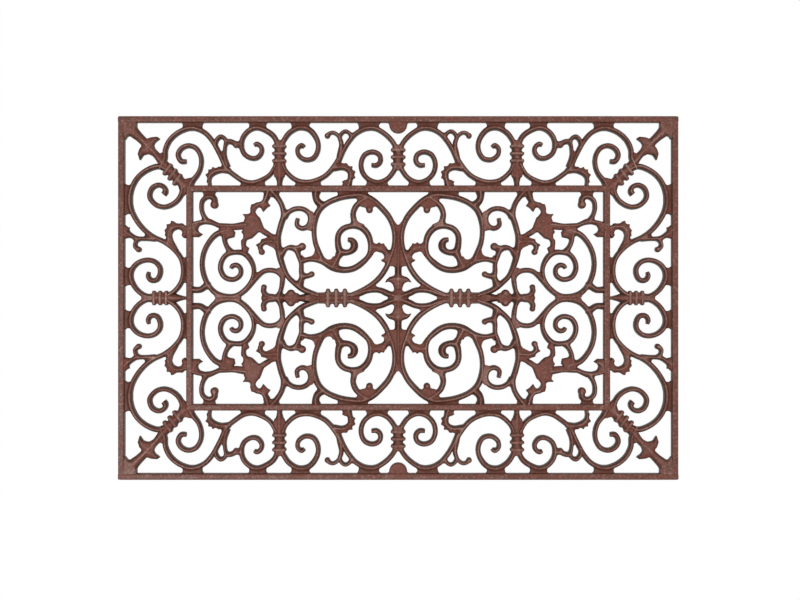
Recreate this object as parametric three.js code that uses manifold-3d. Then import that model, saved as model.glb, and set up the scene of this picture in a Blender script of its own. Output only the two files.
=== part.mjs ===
// Cast iron door mat: open scrollwork between an outer and an inner rectangular frame.
// Millimetres, +Z up, +X along the length, +Y towards the back edge.
// The origin is the middle of the underside, on the ground.
// The pattern is the same in all four quarters, so one quarter is drawn and mirrored.

import * as THREE from 'three';
import { mergeVertices } from 'three/addons/utils/BufferGeometryUtils.js';
import Module from 'manifold-3d';

const wasm = await Module();
wasm.setup();

// Whole mat
const MAT_LENGTH = 585;
const MAT_WIDTH = 380;
const MAT_HEIGHT = 10;

// Frames. A border is the distance from the mat's edge to the outer face of the inner frame.
const END_BORDER = 71;
const SIDE_BORDER = 72.2;
const OUTER_RAIL = 7;
const INNER_RAIL = 7.2;

// Bars, leaves and collars
const BAR_WIDTH = 5.6;
const DRAFT = 0.6; // how far each side leans in from the base to the top
const LEAF_DROP = 0.6; // leaves and collar bodies lie this much below the bars
const WEB_DROP = 3; // the thin webs that tie scrolls to the rails lie this much below
const WEB_REACH = 5; // how far a web stands out from its rail
const WEB_FLARE = 2.2; // how far a web widens where it leaves its rail
const WEB_LAP = 1; // how far a web's outline runs into its rail, which trims it
const RING_WIDTH = 4.5; // one ring of a collar, along the collar
const RING_TAPER = 1.4; // by how much a ring's ends are narrower
const RING_FLAT = 0.6; // share of a ring's length that has its full width
const COLLAR_WIDTH = 10.6; // a collar's body between its rings
const LOBE_RADIUS = 9.5; // the half-round lobe in the middle of each long rail
const LOBE_DROP = 1.5; // from the rail's inner face to the lobe's centre

// Fits and fineness
const CLEARANCE = 0.3; // gap between neighbouring members
const CHORD = 0.7; // how far a straight facet may leave its curve
const BALL_SIDES = 8;
const LOBE_SIDES = 8;
const FINEST = 0.08; // edges and steps smaller than this are dropped
const CURVE_STEPS = 12; // trial points between two drawn points
const MITRE_LIMIT = 0.65; // cosine past which a sharp corner is no longer mitred out

// The scrolls are drawn in grid steps from the middle, and the real rails stretch the grid to fit
const STEP = 1; // what a step measures across a bar, in millimetres
const INNER_STEPS = [217.6, 113.9]; // to the inner rails' centre lines
const OUTER_STEPS = [288.8, 186.5]; // to the outer rails' centre lines

const HALF = [MAT_LENGTH / 2, MAT_WIDTH / 2];
const OUTER_LINE = [HALF[0] - OUTER_RAIL / 2, HALF[1] - OUTER_RAIL / 2];
const INNER_LINE = [
  HALF[0] - END_BORDER - INNER_RAIL / 2,
  HALF[1] - SIDE_BORDER - INNER_RAIL / 2,
];
const LEAF_TOP = MAT_HEIGHT - LEAF_DROP;
const WEB_TOP = MAT_HEIGHT - WEB_DROP;

// From the drawing's grid to the mat, along one axis
function stretch(value, axis) {
  const inner = INNER_STEPS[axis];
  if (value <= inner) return value * INNER_LINE[axis] / inner;
  const share = (value - inner) / (OUTER_STEPS[axis] - inner);
  return INNER_LINE[axis] + share * (OUTER_LINE[axis] - INNER_LINE[axis]);
}

function onMat([x, y, width = 0]) {
  return { x: stretch(x, 0), y: stretch(y, 1), width: width * STEP };
}

// A closed solid from corner points and faces given as rings of point numbers
function solidFrom(geometry) {
  geometry.deleteAttribute('normal');
  geometry.deleteAttribute('uv');
  const merged = mergeVertices(geometry, 1e-4);
  const vertProperties = new Float32Array(merged.attributes.position.array);
  const triVerts = new Uint32Array(merged.index.array);
  return new wasm.Manifold(new wasm.Mesh({ numProp: 3, vertProperties, triVerts }));
}

// A smooth line through the drawn points, thinned until it strays no more than CHORD
function smoothLine(points, straight) {
  const corners = points.map(onMat);
  if (straight || corners.length === 2) return corners;
  const curve = new THREE.CatmullRomCurve3(
    corners.map((p) => new THREE.Vector3(p.x, p.y, p.width)), false, 'centripetal',
  );
  const steps = (corners.length - 1) * CURVE_STEPS;
  const fine = Array.from({ length: steps + 1 }, (_, i) => curve.getPoint(i / steps));
  const line = new THREE.Line3();
  const foot = new THREE.Vector3();
  const kept = new Set([0, steps]);
  const split = (first, last) => {
    line.set(fine[first], fine[last]);
    let worst = CHORD;
    let at = -1;
    for (let i = first + 1; i < last; i += 1) {
      line.closestPointToPoint(fine[i], true, foot);
      const off = foot.distanceTo(fine[i]);
      if (off > worst) {
        worst = off;
        at = i;
      }
    }
    if (at < 0) return;
    kept.add(at);
    split(first, at);
    split(at, last);
  };
  split(0, steps);
  return [...kept].sort((a, b) => a - b).map((i) => ({ x: fine[i].x, y: fine[i].y, width: fine[i].z }));
}

// Shapes of the pattern. Each takes how much it is grown all round, which is 0 for the member itself.

// A bar that runs through the points [x, y] or [x, y, width]
function bar(points, { width = BAR_WIDTH, top = MAT_HEIGHT, straight = false } = {}) {
  const drawn = points.map(([x, y, own]) => [x, y, own ?? width / STEP]);
  return (grow) => {
    const line = smoothLine(drawn, straight);
    const low = grow > 0 ? -1 : 0;
    const high = grow > 0 ? MAT_HEIGHT + 1 : top;
    const lean = grow > 0 ? 0 : DRAFT;
    const positions = [];
    line.forEach((p, i) => {
      const before = line[Math.max(i - 1, 0)];
      const after = line[Math.min(i + 1, line.length - 1)];
      const inward = new THREE.Vector2(p.x - before.x, p.y - before.y).normalize();
      const outward = new THREE.Vector2(after.x - p.x, after.y - p.y).normalize();
      const along = inward.clone().add(outward).normalize();
      const ends = i === 0 || i === line.length - 1;
      const mitre = ends ? 1 : 1 / Math.max(along.dot(outward), MITRE_LIMIT);
      const shift = i === 0 ? -grow : i === line.length - 1 ? grow : 0;
      const x = p.x + along.x * shift;
      const y = p.y + along.y * shift;
      const base = (p.width / 2 + grow) * mitre;
      const crest = base - lean;
      positions.push(x - along.y * base, y + along.x * base, low);
      positions.push(x + along.y * base, y - along.x * base, low);
      positions.push(x + along.y * crest, y - along.x * crest, high);
      positions.push(x - along.y * crest, y + along.x * crest, high);
    });
    const faces = [0, 1, 2, 0, 2, 3];
    for (let i = 0; i < line.length - 1; i += 1) {
      for (let side = 0; side < 4; side += 1) {
        const a = i * 4 + side;
        const b = i * 4 + (side + 1) % 4;
        faces.push(a, a + 4, b, b, a + 4, b + 4);
      }
    }
    const end = (line.length - 1) * 4;
    faces.push(end, end + 2, end + 1, end, end + 3, end + 2);
    const geometry = new THREE.BufferGeometry();
    geometry.setAttribute('position', new THREE.Float32BufferAttribute(positions, 3));
    geometry.setIndex(faces);
    return solidFrom(geometry);
  };
}

// A ball end, flattened to the bars' height
function ball(x, y, radius, top = MAT_HEIGHT) {
  return (grow) => {
    const low = grow > 0 ? -1 : 0;
    const high = grow > 0 ? MAT_HEIGHT + 1 : top;
    const lean = grow > 0 ? 0 : DRAFT;
    const round = new THREE.CylinderGeometry(
      radius * STEP + grow - lean, radius * STEP + grow, high - low, BALL_SIDES,
    );
    round.rotateX(Math.PI / 2);
    round.translate(stretch(x, 0), stretch(y, 1), (low + high) / 2);
    return solidFrom(round);
  };
}

// A flat leaf or plate with the drawn outline
function plate(points, top = LEAF_TOP) {
  return (grow) => {
    const outline = points.map(onMat).map((p) => new THREE.Vector2(p.x, p.y));
    if (THREE.ShapeUtils.area(outline) < 0) outline.reverse();
    const grown = outline.map((p, i) => {
      const before = outline[(i + outline.length - 1) % outline.length];
      const after = outline[(i + 1) % outline.length];
      const a = p.clone().sub(before).normalize();
      const b = after.clone().sub(p).normalize();
      const normal = new THREE.Vector2(a.y + b.y, -a.x - b.x).normalize();
      const reach = grow / Math.max(normal.dot(new THREE.Vector2(b.y, -b.x)), MITRE_LIMIT);
      return p.clone().addScaledVector(normal, reach);
    });
    const low = grow > 0 ? -1 : 0;
    const high = grow > 0 ? MAT_HEIGHT + 1 : top;
    const body = new THREE.ExtrudeGeometry(
      new THREE.Shape(grown), { depth: high - low, bevelEnabled: false, curveSegments: 1 },
    );
    body.translate(0, 0, low);
    return solidFrom(body);
  };
}

// The half-round lobe that hangs from an outer long rail at the middle line
function railLobe() {
  const radius = LOBE_RADIUS / STEP;
  const y = OUTER_STEPS[1] - (OUTER_RAIL / 2 + LOBE_DROP) / STEP;
  const round = Array.from({ length: LOBE_SIDES + 1 }, (_, i) => {
    const turn = Math.PI * (1 + i / LOBE_SIDES);
    return [radius * Math.cos(turn), y + radius * Math.sin(turn)];
  });
  return plate([[-radius, OUTER_STEPS[1]], ...round, [radius, OUTER_STEPS[1]]]);
}

// Lower iron that fills the corner between two bars
function pad(points) {
  return plate(points, WEB_TOP);
}

// A collar's ring: a short bar across the collar at a point, turned by an angle in degrees
function ring(x, y, length, angle) {
  const turn = THREE.MathUtils.degToRad(angle);
  const dx = Math.cos(turn) * length / 2;
  const dy = Math.sin(turn) * length / 2;
  const middle = RING_WIDTH / STEP;
  const end = (RING_WIDTH - RING_TAPER) / STEP;
  return bar([
    [x - dx, y - dy, end], [x - dx * RING_FLAT, y - dy * RING_FLAT, middle],
    [x + dx * RING_FLAT, y + dy * RING_FLAT, middle], [x + dx, y + dy, end],
  ], { straight: true });
}

// A thin web between two places along a rail's face, flared where it leaves the rail
function web(place, start, end) {
  const flare = WEB_FLARE / STEP;
  const reach = WEB_REACH / STEP;
  const lap = WEB_LAP / STEP;
  return pad([
    place(start - flare, -lap), place(start - flare, 0), place(start, flare), place(start, reach),
    place(end, reach), place(end, flare), place(end + flare, 0), place(end + flare, -lap),
  ]);
}

function webByOuterLongRail(x0, x1) {
  const face = OUTER_STEPS[1] - OUTER_RAIL / 2 / STEP;
  return web((along, depth) => [along, face - depth], x0, x1);
}

function webByInnerLongRail(x0, x1) {
  const face = INNER_STEPS[1] + INNER_RAIL / 2 / STEP;
  return web((along, depth) => [along, face + depth], x0, x1);
}

function webUnderInnerLongRail(x0, x1) {
  const face = INNER_STEPS[1] - INNER_RAIL / 2 / STEP;
  return web((along, depth) => [along, face - depth], x0, x1);
}

function webByOuterEndRail(y0, y1) {
  const face = OUTER_STEPS[0] - OUTER_RAIL / 2 / STEP;
  return web((along, depth) => [face - depth, along], y0, y1);
}

function webByInnerEndRail(y0, y1) {
  const face = INNER_STEPS[0] + INNER_RAIL / 2 / STEP;
  return web((along, depth) => [face + depth, along], y0, y1);
}

// A straight rail given in the mat's own millimetres
function rail(x0, y0, x1, y1, width) {
  const lengthwise = y0 === y1;
  return (grow) => {
    const low = grow > 0 ? -1 : 0;
    const high = grow > 0 ? MAT_HEIGHT + 1 : MAT_HEIGHT;
    const across = width + 2 * grow;
    const lean = grow > 0 ? 0 : DRAFT;
    const section = new THREE.Shape([
      new THREE.Vector2(-across / 2, low),
      new THREE.Vector2(across / 2, low),
      new THREE.Vector2(across / 2 - lean, high),
      new THREE.Vector2(-across / 2 + lean, high),
    ]);
    const length = (lengthwise ? x1 - x0 : y1 - y0) + 2 * grow;
    const body = new THREE.ExtrudeGeometry(section, { depth: length, bevelEnabled: false });
    body.rotateX(Math.PI / 2);
    if (lengthwise) {
      body.rotateZ(Math.PI / 2);
      body.translate(x0 - grow, y0, 0);
    } else {
      body.translate(x0, y1 + grow, 0);
    }
    return solidFrom(body);
  };
}

// The quarter's members, in the order in which they cut the ones after them.
// spans says which middle lines a member crosses as one piece: x, y, both or none.
const members = [];

function member(name, spans, shapes, color = 'bar') {
  members.push({ name, spans, shapes, color });
}

// Outer and inner frames
member('outer_long_rail', 'x', [
  rail(-1, OUTER_LINE[1], HALF[0], OUTER_LINE[1], OUTER_RAIL),
  railLobe(),
], 'rail');
member('outer_end_rail', 'y', [
  rail(OUTER_LINE[0], -1, OUTER_LINE[0], HALF[1] - OUTER_RAIL - CLEARANCE, OUTER_RAIL),
], 'rail');
member('inner_long_rail', 'x', [
  rail(-1, INNER_LINE[1], INNER_LINE[0] + INNER_RAIL / 2, INNER_LINE[1], INNER_RAIL),
], 'rail');
member('inner_end_rail', 'y', [
  rail(INNER_LINE[0], -1, INNER_LINE[0], INNER_LINE[1] - INNER_RAIL / 2 - CLEARANCE, INNER_RAIL),
], 'rail');

// Corner: a barbed spear from the mat's corner, its collar, and the two curls at its foot
member('corner_spear', 'none', [
  bar([[284, 182, 13], [276.6, 173.5, 12], [264.4, 161.8, 9], [252, 148.5, 8], [246, 141, 8.6]]),
  pad([[288, 185], [273, 184], [273, 178.5], [281.5, 170], [287, 171]]),
  plate([
    [266, 165], [258, 167.8], [252, 168.3], [249, 166.4], [252.4, 163.4], [254.8, 159.9],
    [253, 154], [249.4, 149.4], [252, 148], [262, 158],
  ]),
  plate([
    [264, 162], [267, 159.3], [270.1, 155.6], [271.6, 150.3], [269.8, 143.6], [266, 148.5],
    [261, 149.9], [254.8, 147], [250, 143], [249, 148], [258, 158],
  ]),
  bar([[248, 143.5, 9], [242, 137, COLLAR_WIDTH], [230, 124.4, COLLAR_WIDTH], [220, 114.5, 9]],
    { top: LEAF_TOP }),
  ring(240.3, 135, 14.4, -45),
  ring(235.2, 129.7, 14.4, -45),
  ring(230.1, 124.4, 14.4, -45),
  pad([[224, 122], [217, 124.4], [212, 121], [214, 116], [220, 112], [223.4, 106.6], [227, 108],
    [230, 118]]),
  bar([[219, 116, 7], [214.8, 122.2, 6.4], [209, 130.4], [206.2, 139], [206.8, 148.4], [212, 156.6],
    [219.6, 159], [227, 155.8], [230, 149.2], [226.6, 142.8, 6], [221.9, 142, 5.6]]),
  bar([[228, 122, 7], [225.4, 114], [228.5, 104.6], [235.5, 98], [244.4, 95], [253.5, 97.4],
    [259.3, 105.5],
    [256.8, 114.4], [250.2, 118], [244.4, 115.2, 5.6], [242.9, 110.9, 5.8], [245.2, 108.4, 5]]),
], 'collar');

// Long border: the wide arc from the corner to the collar, with its serrated leaf
member('corner_scroll', 'none', [
  bar([[247, 137.5], [243.8, 146], [243.3, 155], [238.4, 165.4], [228.5, 173.8], [215.2, 177.7],
    [203.2, 173.7],
    [194.7, 164.9], [185.6, 148.4], [179.4, 135.5], [170, 127.3], [161.5, 122], [152, 120.6],
    [142, 123.5], [134, 129.5], [128, 139.5]]),
  bar([[176, 133, 6], [185, 133.2, 6], [192.4, 131, 6.4], [196.2, 126, 6], [196.5, 114, 5.6]],
    { top: LEAF_TOP }),
  plate([[184, 134], [187, 136.8], [190.5, 135.6], [193.5, 136.8], [195, 134.4], [198.2, 134],
    [198.2, 131], [201, 128.6], [199.4, 124], [195, 124], [193.4, 128.6]]),
  pad([[185.2, 145], [180, 137], [173, 129.5], [179, 130.5], [188, 131], [188, 135.5], [183, 136.5]]),
  webByOuterLongRail(206, 223.5),
  webByInnerLongRail(141, 162.5),
]);

// Long border: the arc from the collar to the middle, with a hooked end and a leaf
member('hook_scroll', 'none', [
  bar([[120.2, 140], [117, 132.8], [106.7, 123.2], [95, 121], [84.8, 123.2], [75, 128.6], [66.6, 138.4],
    [60.7, 149], [59.5, 161, 5.4], [62.2, 169.3, 4.8], [67.8, 173, 4.6], [73, 171.8, 4.4]]),
  ball(74, 169.5, 3),
  pad([[57.4, 163], [56.6, 156], [60, 146], [65, 139], [64, 150], [61.4, 160]]),
  bar([[66, 136, 6], [58.5, 136.4, 6.4], [52, 134, 6.6], [49.4, 129, 6.4], [50.4, 122.5, 5.8],
    [53, 114, 8]],
    { top: LEAF_TOP }),
  plate([[62, 137], [60.3, 141], [57, 140.6], [53.8, 140.6], [51.2, 137.8], [47.8, 137.4], [47.8, 134.2],
    [44.8, 132], [45.8, 128.8], [45, 125.6], [48, 122.5], [52, 125], [53, 131]]),
  webByInnerLongRail(83, 105.5),
]);

// Long border: two curls that spring from a collar, with a bud and a loop on one of them
member('twin_curl', 'none', [
  bar([[124, 164.6, 5], [124, 158, COLLAR_WIDTH], [124, 142, COLLAR_WIDTH], [124, 137.5, 8.4],
    [124, 129.5, 9.4], [124, 119.5, 5], [124, 114, 7]], { top: LEAF_TOP, straight: true }),
  ring(124, 158.3, 14.6, 0),
  ring(124, 150.7, 14.6, 0),
  ring(124, 143.1, 14.6, 0),
  pad([[118, 142], [130, 142], [131.6, 134], [129.4, 126.2], [118.6, 126.2], [116.4, 134]]),
  bar([[151.2, 159.4, 4.4], [147.8, 160.9, 5.2], [143.7, 157.6, 5.4], [143, 152.3], [147, 146.9],
    [153.3, 145.8],
    [160.9, 150.7], [163.8, 158.8], [162, 168.2], [155.3, 175.6], [147.5, 178], [138.5, 175],
    [130.2, 168.6], [125.3, 158]]),
  bar([[98, 157.8, 4.2], [100.8, 160, 5], [105, 156.2, 5.2], [104.3, 149.7, 5.4], [97.2, 144.3],
    [89, 146],
    [84.4, 153], [83.8, 162], [88.2, 171.5, 6.4], [94.6, 177, 6.4], [104.4, 177.8], [113.6, 172.2],
    [119.4, 164], [122.7, 157]]),
  bar([[190.8, 157], [190, 163.8], [185, 168.5], [180.3, 165], [181.1, 156, 4.4], [181.2, 148, 4.9],
    [178, 137]],
    { width: 4.8 }),
  bar([[180.8, 163.8, 5], [175, 163.3, 5.6], [170, 161.6, 6], [162.5, 160.4, 6]], { top: LEAF_TOP }),
  ball(169.6, 159.6, 3, LEAF_TOP),
  webByOuterLongRail(139.5, 154),
  webByOuterLongRail(94.5, 110),
], 'collar');

// Middle of a long side: a collar with an arch and a curl on each side of it
member('middle_scroll', 'x', [
  bar([[0, 160, 6], [0, 156, COLLAR_WIDTH], [0, 138, COLLAR_WIDTH], [0, 133, 5]],
    { top: LEAF_TOP, straight: true }),
  ring(0, 154.5, 15, 0),
  ring(0, 147, 15, 0),
  ring(0, 139.5, 15, 0),
  bar([[62.5, 142.5], [57, 154.6], [51.1, 164.2], [44.4, 171.8], [34.8, 176.9], [24, 177.3], [13, 171],
    [4.7, 161.8], [1, 153]]),
  bar([[61.4, 166.5], [59.4, 171.6], [55.3, 174.4], [51, 172.4], [48, 167]], { width: 4.6 }),
  bar([[1, 141], [4.2, 133.4], [11.4, 124.5], [21, 120.8], [30.5, 123.7], [37, 130.9], [38.8, 140.8],
    [34.9, 149.8], [26.6, 152.8], [19.7, 149.6], [18.6, 142.8], [22.6, 138.7], [28.1, 139, 5]]),
  webByOuterLongRail(21.5, 40),
  webByInnerLongRail(12.5, 31.5),
], 'collar');

// End border: a collar on the middle line with a spearhead and a curl on each side
member('end_scroll', 'y', [
  bar([[266, 0, 6], [261, 0, 9.4], [240, 0, COLLAR_WIDTH], [234, 0, 10], [228, 0, 6.6], [221.6, 0, 2.6]],
    { top: LEAF_TOP, straight: true }),
  ring(254.6, 0, 14.6, 90),
  ring(248.1, 0, 14.6, 90),
  ring(241.7, 0, 14.6, 90),
  bar([[260.4, 27.4, 3.8], [261.5, 23.2, 5.2], [258.6, 18.6], [252.6, 18.9], [248.9, 25],
    [249.3, 32.2], [254.9, 38],
    [263.4, 39.6], [272.6, 36.3], [278.6, 29], [279.2, 20], [274.3, 10], [265.6, 2.9], [254, 0.5]]),
  webByOuterEndRail(14.8, 30),
], 'collar');

// End border: the wide arc from the corner to the end collar, with a hooked twig and a leaf
member('side_scroll', 'none', [
  bar([[243, 135.6, 6.4], [250, 137], [260, 134.5], [270, 128.1], [276.3, 118.5], [279.9, 106],
    [278.6, 92.6],
    [273.2, 80.4], [264.3, 69.9], [255.2, 63.4], [245.2, 58.8], [234.6, 50.9], [226.9, 41], [224.4, 29.4],
    [226.4, 17.2], [233.4, 7.4], [243, 3]]),
  plate([[286, 79], [284.4, 75.8], [280.6, 73.8], [281, 71.5], [279.8, 67.6], [276, 64.4], [281, 62.8],
    [286, 58.5]]),
  bar([[281, 66.5, 5.8], [274.4, 62.5, 5.6], [264, 61.8, 5], [254, 61.4]]),
  bar([[269, 62], [274.4, 58.6], [275, 54, 5], [272.8, 50.8, 4.8]], { width: 4.4 }),
  ball(271.2, 50.6, 3.1),
  plate([[219, 75.6], [225.4, 77.8], [229, 77.8], [234.6, 80], [237, 80.2], [238, 77.4], [241.8, 76.8],
    [241.6, 73.8], [243.8, 70.6], [243.2, 68], [243.6, 65.2], [241.2, 62.6], [242.6, 58], [235.4, 52],
    [229.8, 50.5], [234.8, 60], [236, 65.5], [234.3, 69.3], [230.6, 71.2], [226.8, 70.4], [224, 67],
    [219, 67]]),
  plate([[219, 69], [223.4, 69.4], [225.8, 66], [224.8, 63.4], [222.6, 62.2], [219, 63]]),
  webByOuterEndRail(88.6, 117),
  webByInnerEndRail(18, 40.5),
]);

// Panel: the vine that enters from the end rail, with a ball-ended hook
member('vine', 'none', [
  plate([[217, 79.2], [213, 78.6], [211.2, 80], [207.8, 80], [202.5, 82.4], [196, 81.8], [186.5, 78.1],
    [172, 78], [157, 81], [157, 73], [170, 71.9], [186.5, 72.4], [193.2, 75.4], [199, 76.8],
    [203, 76.5], [206.5, 74.7], [208, 71.6], [207.1, 68.7], [204.2, 66.6], [208.5, 63.5], [217, 64.2]]),
  bar([[200, 80, 6.4], [203.5, 86.5, 5], [205.3, 94, 4.8], [203.8, 101.6, 5.4], [198, 105.8],
    [192.9, 104, 6.4], [191.2, 99, 6]]),
  ball(191.6, 97.2, 4.1),
  webUnderInnerLongRail(192.5, 202.5),
]);

// Panel: the ring with a curl inside it, and the knot that hangs it from the vine
member('ring_scroll', 'none', [
  plate([[171, 75], [171.8, 71], [170.4, 68.4], [171.4, 64.2], [176, 62.9], [182.8, 64.6], [188, 70],
    [185.4, 75]]),
  bar([[177, 71], [189.7, 66.3], [197.4, 58.8], [202.7, 47.7], [204.4, 35.3], [202.7, 22.8], [197.5, 12],
    [190, 4.9], [179.4, 2.2], [169.4, 2.7], [159.2, 9.5], [152.2, 19.9], [151, 31], [154.9, 41.6],
    [162, 47.4], [171, 47.7], [179.2, 45.4], [184.8, 37.8], [185.3, 29], [180.7, 21.6], [172, 19.4],
    [165.3, 23.8], [164.7, 30.4], [168.6, 33.9], [173.2, 33, 4.8]]),
  bar([[183, 66.6, 6.2], [181.4, 58.8, 5.6], [178.6, 52.8, 5.8], [174, 46.4, 8]]),
  bar([[217, 9.6, 8.6], [214, 9, 7], [206.8, 9, 6.4], [197, 12, 6.4]]),
]);

// Middle line of the panel: the fluted clasp that gathers the bars, its stem, knob and hooked arches
member('axis_clasp', 'y', [
  bar([[143, 0, 5], [130, 0, 5.6], [104, 0, 6], [97, 0, 8], [90, 0, 11.4], [76, 0, 12.4],
    [50, 0, 11.4], [43, 0, 9]], { top: LEAF_TOP, straight: true }),
  plate([[105.4, -1], [105.6, 4.4], [108, 7.8], [112, 9], [116, 7.8], [118.4, 4.4], [118.6, -1]]),
  ring(73.2, 0, 20.6, 90),
  ring(64.6, 0, 20.6, 90),
  ring(55.6, 0, 20.6, 90),
  bar([[156, 12, 4.8], [152.6, 16], [147, 22.4], [140.9, 27.7], [133, 29], [126.1, 27], [121.8, 21.8],
    [121.5, 15, 5.6], [123.2, 7.6, 5], [126, -1, 8]]),
  pad([[148, 27], [151.5, 23], [152, 18], [148, 20], [143, 26]]),
  bar([[127.6, -0.6, 5.6], [132, 1.8, 6], [137.2, 2.8, 5.6], [140.7, 6.6, 6.2], [140.5, 11, 5.8]]),
  ball(140.2, 11.4, 3),
], 'collar');

// Panel: the large scroll beside the middle, with the curl, stems and leaf bridge inside it
member('centre_scroll', 'none', [
  bar([[79, 39], [82.7, 47, 6.4], [86.7, 58], [88.1, 70], [87.1, 82, 6.6], [83, 91.7, 6.4],
    [75, 98.6, 6.4], [63, 104, 6.6],
    [50, 106.6, 6.6], [36.6, 106.8, 7], [26.9, 102.4, 7], [17.3, 93.9, 6.8], [9.1, 83.8, 6.6],
    [4.3, 71.4, 6.2], [3.9, 57], [7.6, 43.5],
    [13.6, 29.7, 6.2], [22, 18.7, 6.2], [33.6, 10.4, 5.6], [49, 3.4, 5.2], [57, 2]]),
  bar([[86, 113, 11.4], [87.4, 106, 8], [85.8, 101, 7], [80, 95.6, 7]]),
  bar([[101, 38.4], [92, 40], [80, 39], [68, 32.1, 8], [57, 29, 6.8], [47, 30.5, 6.4], [38, 36],
    [30.8, 44.4],
    [28.8, 55.5, 6.2], [31.3, 66.5, 6.4], [38.6, 73.8, 6.6], [48, 75.2, 6.4], [57.4, 72.5, 6.6],
    [63, 66.2, 6.4], [63.6, 57, 7.4], [60.2, 48.6, 8],
    [51, 47.6, 6], [45.9, 51.6, 7.6], [45.5, 56.3, 8], [48.2, 60.4, 6], [52.4, 60.7, 4.6]]),
  bar([[60, 49, 6], [63, 42, 7], [67.5, 34, 9.4]]),
  bar([[46, 75.5, 6.4], [46.8, 80.6, 7.6], [47.5, 87.6, 6], [45.1, 95, 5.8], [39.5, 100.5, 5.8],
    [32, 104.4, 6]]),
  pad([[41, 106], [42.4, 100.6], [38, 95.4], [35, 94.6], [33.2, 93], [26.8, 93.4], [24.4, 97],
    [22, 96], [24, 101], [30, 105]]),
  ball(30, 92, 3.7, LEAF_TOP),
  bar([[29.5, 52.3, 8.4], [21, 53, 8], [14.6, 49.6, 7.6], [8.4, 41, 8.4]], { top: LEAF_TOP }),
  plate([[27, 52], [25.8, 57.4], [22.6, 56.6], [20, 58.6], [17.6, 56.9], [14.8, 57.6], [13.4, 54.4],
    [13, 50], [19, 49]]),
  plate([[16, 48], [14.8, 44.4], [15.4, 41], [17.6, 39.6], [14.2, 36.4], [10.6, 37], [8, 44]]),
  webUnderInnerLongRail(34.5, 61),
  pad([[85, 52], [87.2, 49.4], [88, 46], [90, 44], [95, 42.3], [95, 39.5], [82, 39]]),
  pad([[77.5, 43], [74, 40.2], [70.6, 40.3], [68, 41], [66, 36], [76, 36]]),
  pad([[31.5, 40], [28.6, 41.8], [26.2, 45.2], [24.6, 48], [21, 49.6], [24, 53], [31, 50]]),
]);

// Panel: the long heart-shaped bar, with its hooks, its curl and its branched stem
member('heart_bar', 'none', [
  bar([[133.6, 111, 6.4], [126, 104.4, 6.4], [121.4, 96, 6], [120.2, 86], [123, 76], [125.4, 64, 6.4],
    [124.9, 50, 7.6], [121.5, 35.6, 6.8], [115.8, 23], [108.5, 15.6, 6.2], [99, 8.6, 6.6], [86, 3.4]]),
  pad([[127, 66], [137.5, 63.4], [142, 61], [140, 56.6], [127, 54.5]]),
  bar([[125, 57.4, 6], [131, 58.7, 6.2], [138, 58.8, 5.8], [143.3, 55.6, 5.8], [144.3, 50.3, 5.6]]),
  plate([[138, 59], [140.2, 61.8], [143.2, 60.8], [144.4, 58.4], [148.2, 55.8], [145.8, 53.2],
    [143, 53]]),
  ball(141.9, 48.2, 3.1),
  bar([[119.6, 85, 7.4], [115, 89.8, 5.8], [108.7, 92.8], [100, 92.6], [94, 88.2, 5.6],
    [91.9, 81.5, 5.6], [94.6, 75, 5.8], [100.4, 72.7, 5.8], [105.8, 76, 5.4], [105.6, 82.4, 4.6]]),
  bar([[121.6, 47, 7], [117, 51.8, 5.4], [111, 52.9, 6.2], [106.6, 49.8, 6.4], [104, 43, 6.2],
    [101.1, 36, 4.8], [101, 28, 5.6], [100.8, 21.5, 6.2], [103.6, 12.6, 9]]),
  bar([[109, 52.8], [101, 53.5]], { width: 5 }),
  ball(100.6, 53.6, 3.8),
  bar([[102.4, 23.8], [97, 22.6, 5.6], [91, 24, 5]], { width: 4.8 }),
  ball(90.4, 24.8, 3.2),
  webUnderInnerLongRail(126, 138.5),
  pad([[93.6, 92], [89, 90], [86, 84], [86.6, 76], [90, 70.6], [95.6, 72], [92, 80]]),
]);

// Panel: the cluster of leaves in the middle of the vine, with its twig to the rail
member('leaf_cluster', 'none', [
  plate([[161.2, 80.3], [160.2, 84], [161.6, 86.8], [154.5, 88.8], [154.4, 93.1], [153, 97.4], [148, 100],
    [142, 100], [141, 96], [146, 94.2], [149, 90.7], [146.6, 85.9], [144.4, 83.5], [142, 77.8],
    [140.6, 73], [135, 68.4], [130.3, 65.2], [123, 67], [123, 60], [130, 60], [135.4, 64.3],
    [140, 68.4], [145, 68.8], [149.7, 65], [153.1, 62.2], [158.2, 59.8], [158.9, 55.2], [155.8, 52],
    [157, 46], [162.6, 46], [164, 56.4], [163.8, 60.2], [162.2, 62], [162, 65.8], [164, 68.8],
    [161, 72.5]]),
  plate([[149, 99], [140, 101.8], [136.4, 99.6], [133.6, 96.3], [137.6, 94.8], [140.9, 90.4],
    [143.7, 93.8], [147, 95]]),
  bar([[148, 97.3, 5], [143, 98, 5.4], [138.8, 101.4, 7], [137.4, 106, 7.6], [132.4, 112, 7]]),
]);

// Middle of the mat: a barbed spear across it, a boss, and an almond-shaped loop on each side
member('centre_spear', 'both', [
  bar([[0, 76, 3], [0, 66, 4], [0, 50, 6], [0, 36, 7.6],
    [0, -1, 7.6]], { top: LEAF_TOP, straight: true }),
  pad([[-1, 76], [2, 74.6], [4.6, 66], [5.6, 55], [8.6, 43], [10.4, 36], [4.6, 33.6], [-1, 33]]),
  plate([[-1, 24], [3, 23.8], [9, 21.7], [12, 19.2], [13.4, 16.4], [9.5, 16.6], [6.1, 14.3], [3.7, 9],
    [-1, 9]]),
  ball(0, 0, 8.2, LEAF_TOP),
  bar([[49, 2.2], [42, 4.4, 7.2], [33, 7.6, 6.6], [25, 8.6, 6.6], [18, 7.8, 6.6], [12, 5.1, 7.2],
    [3, 2]]),
]);

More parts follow.
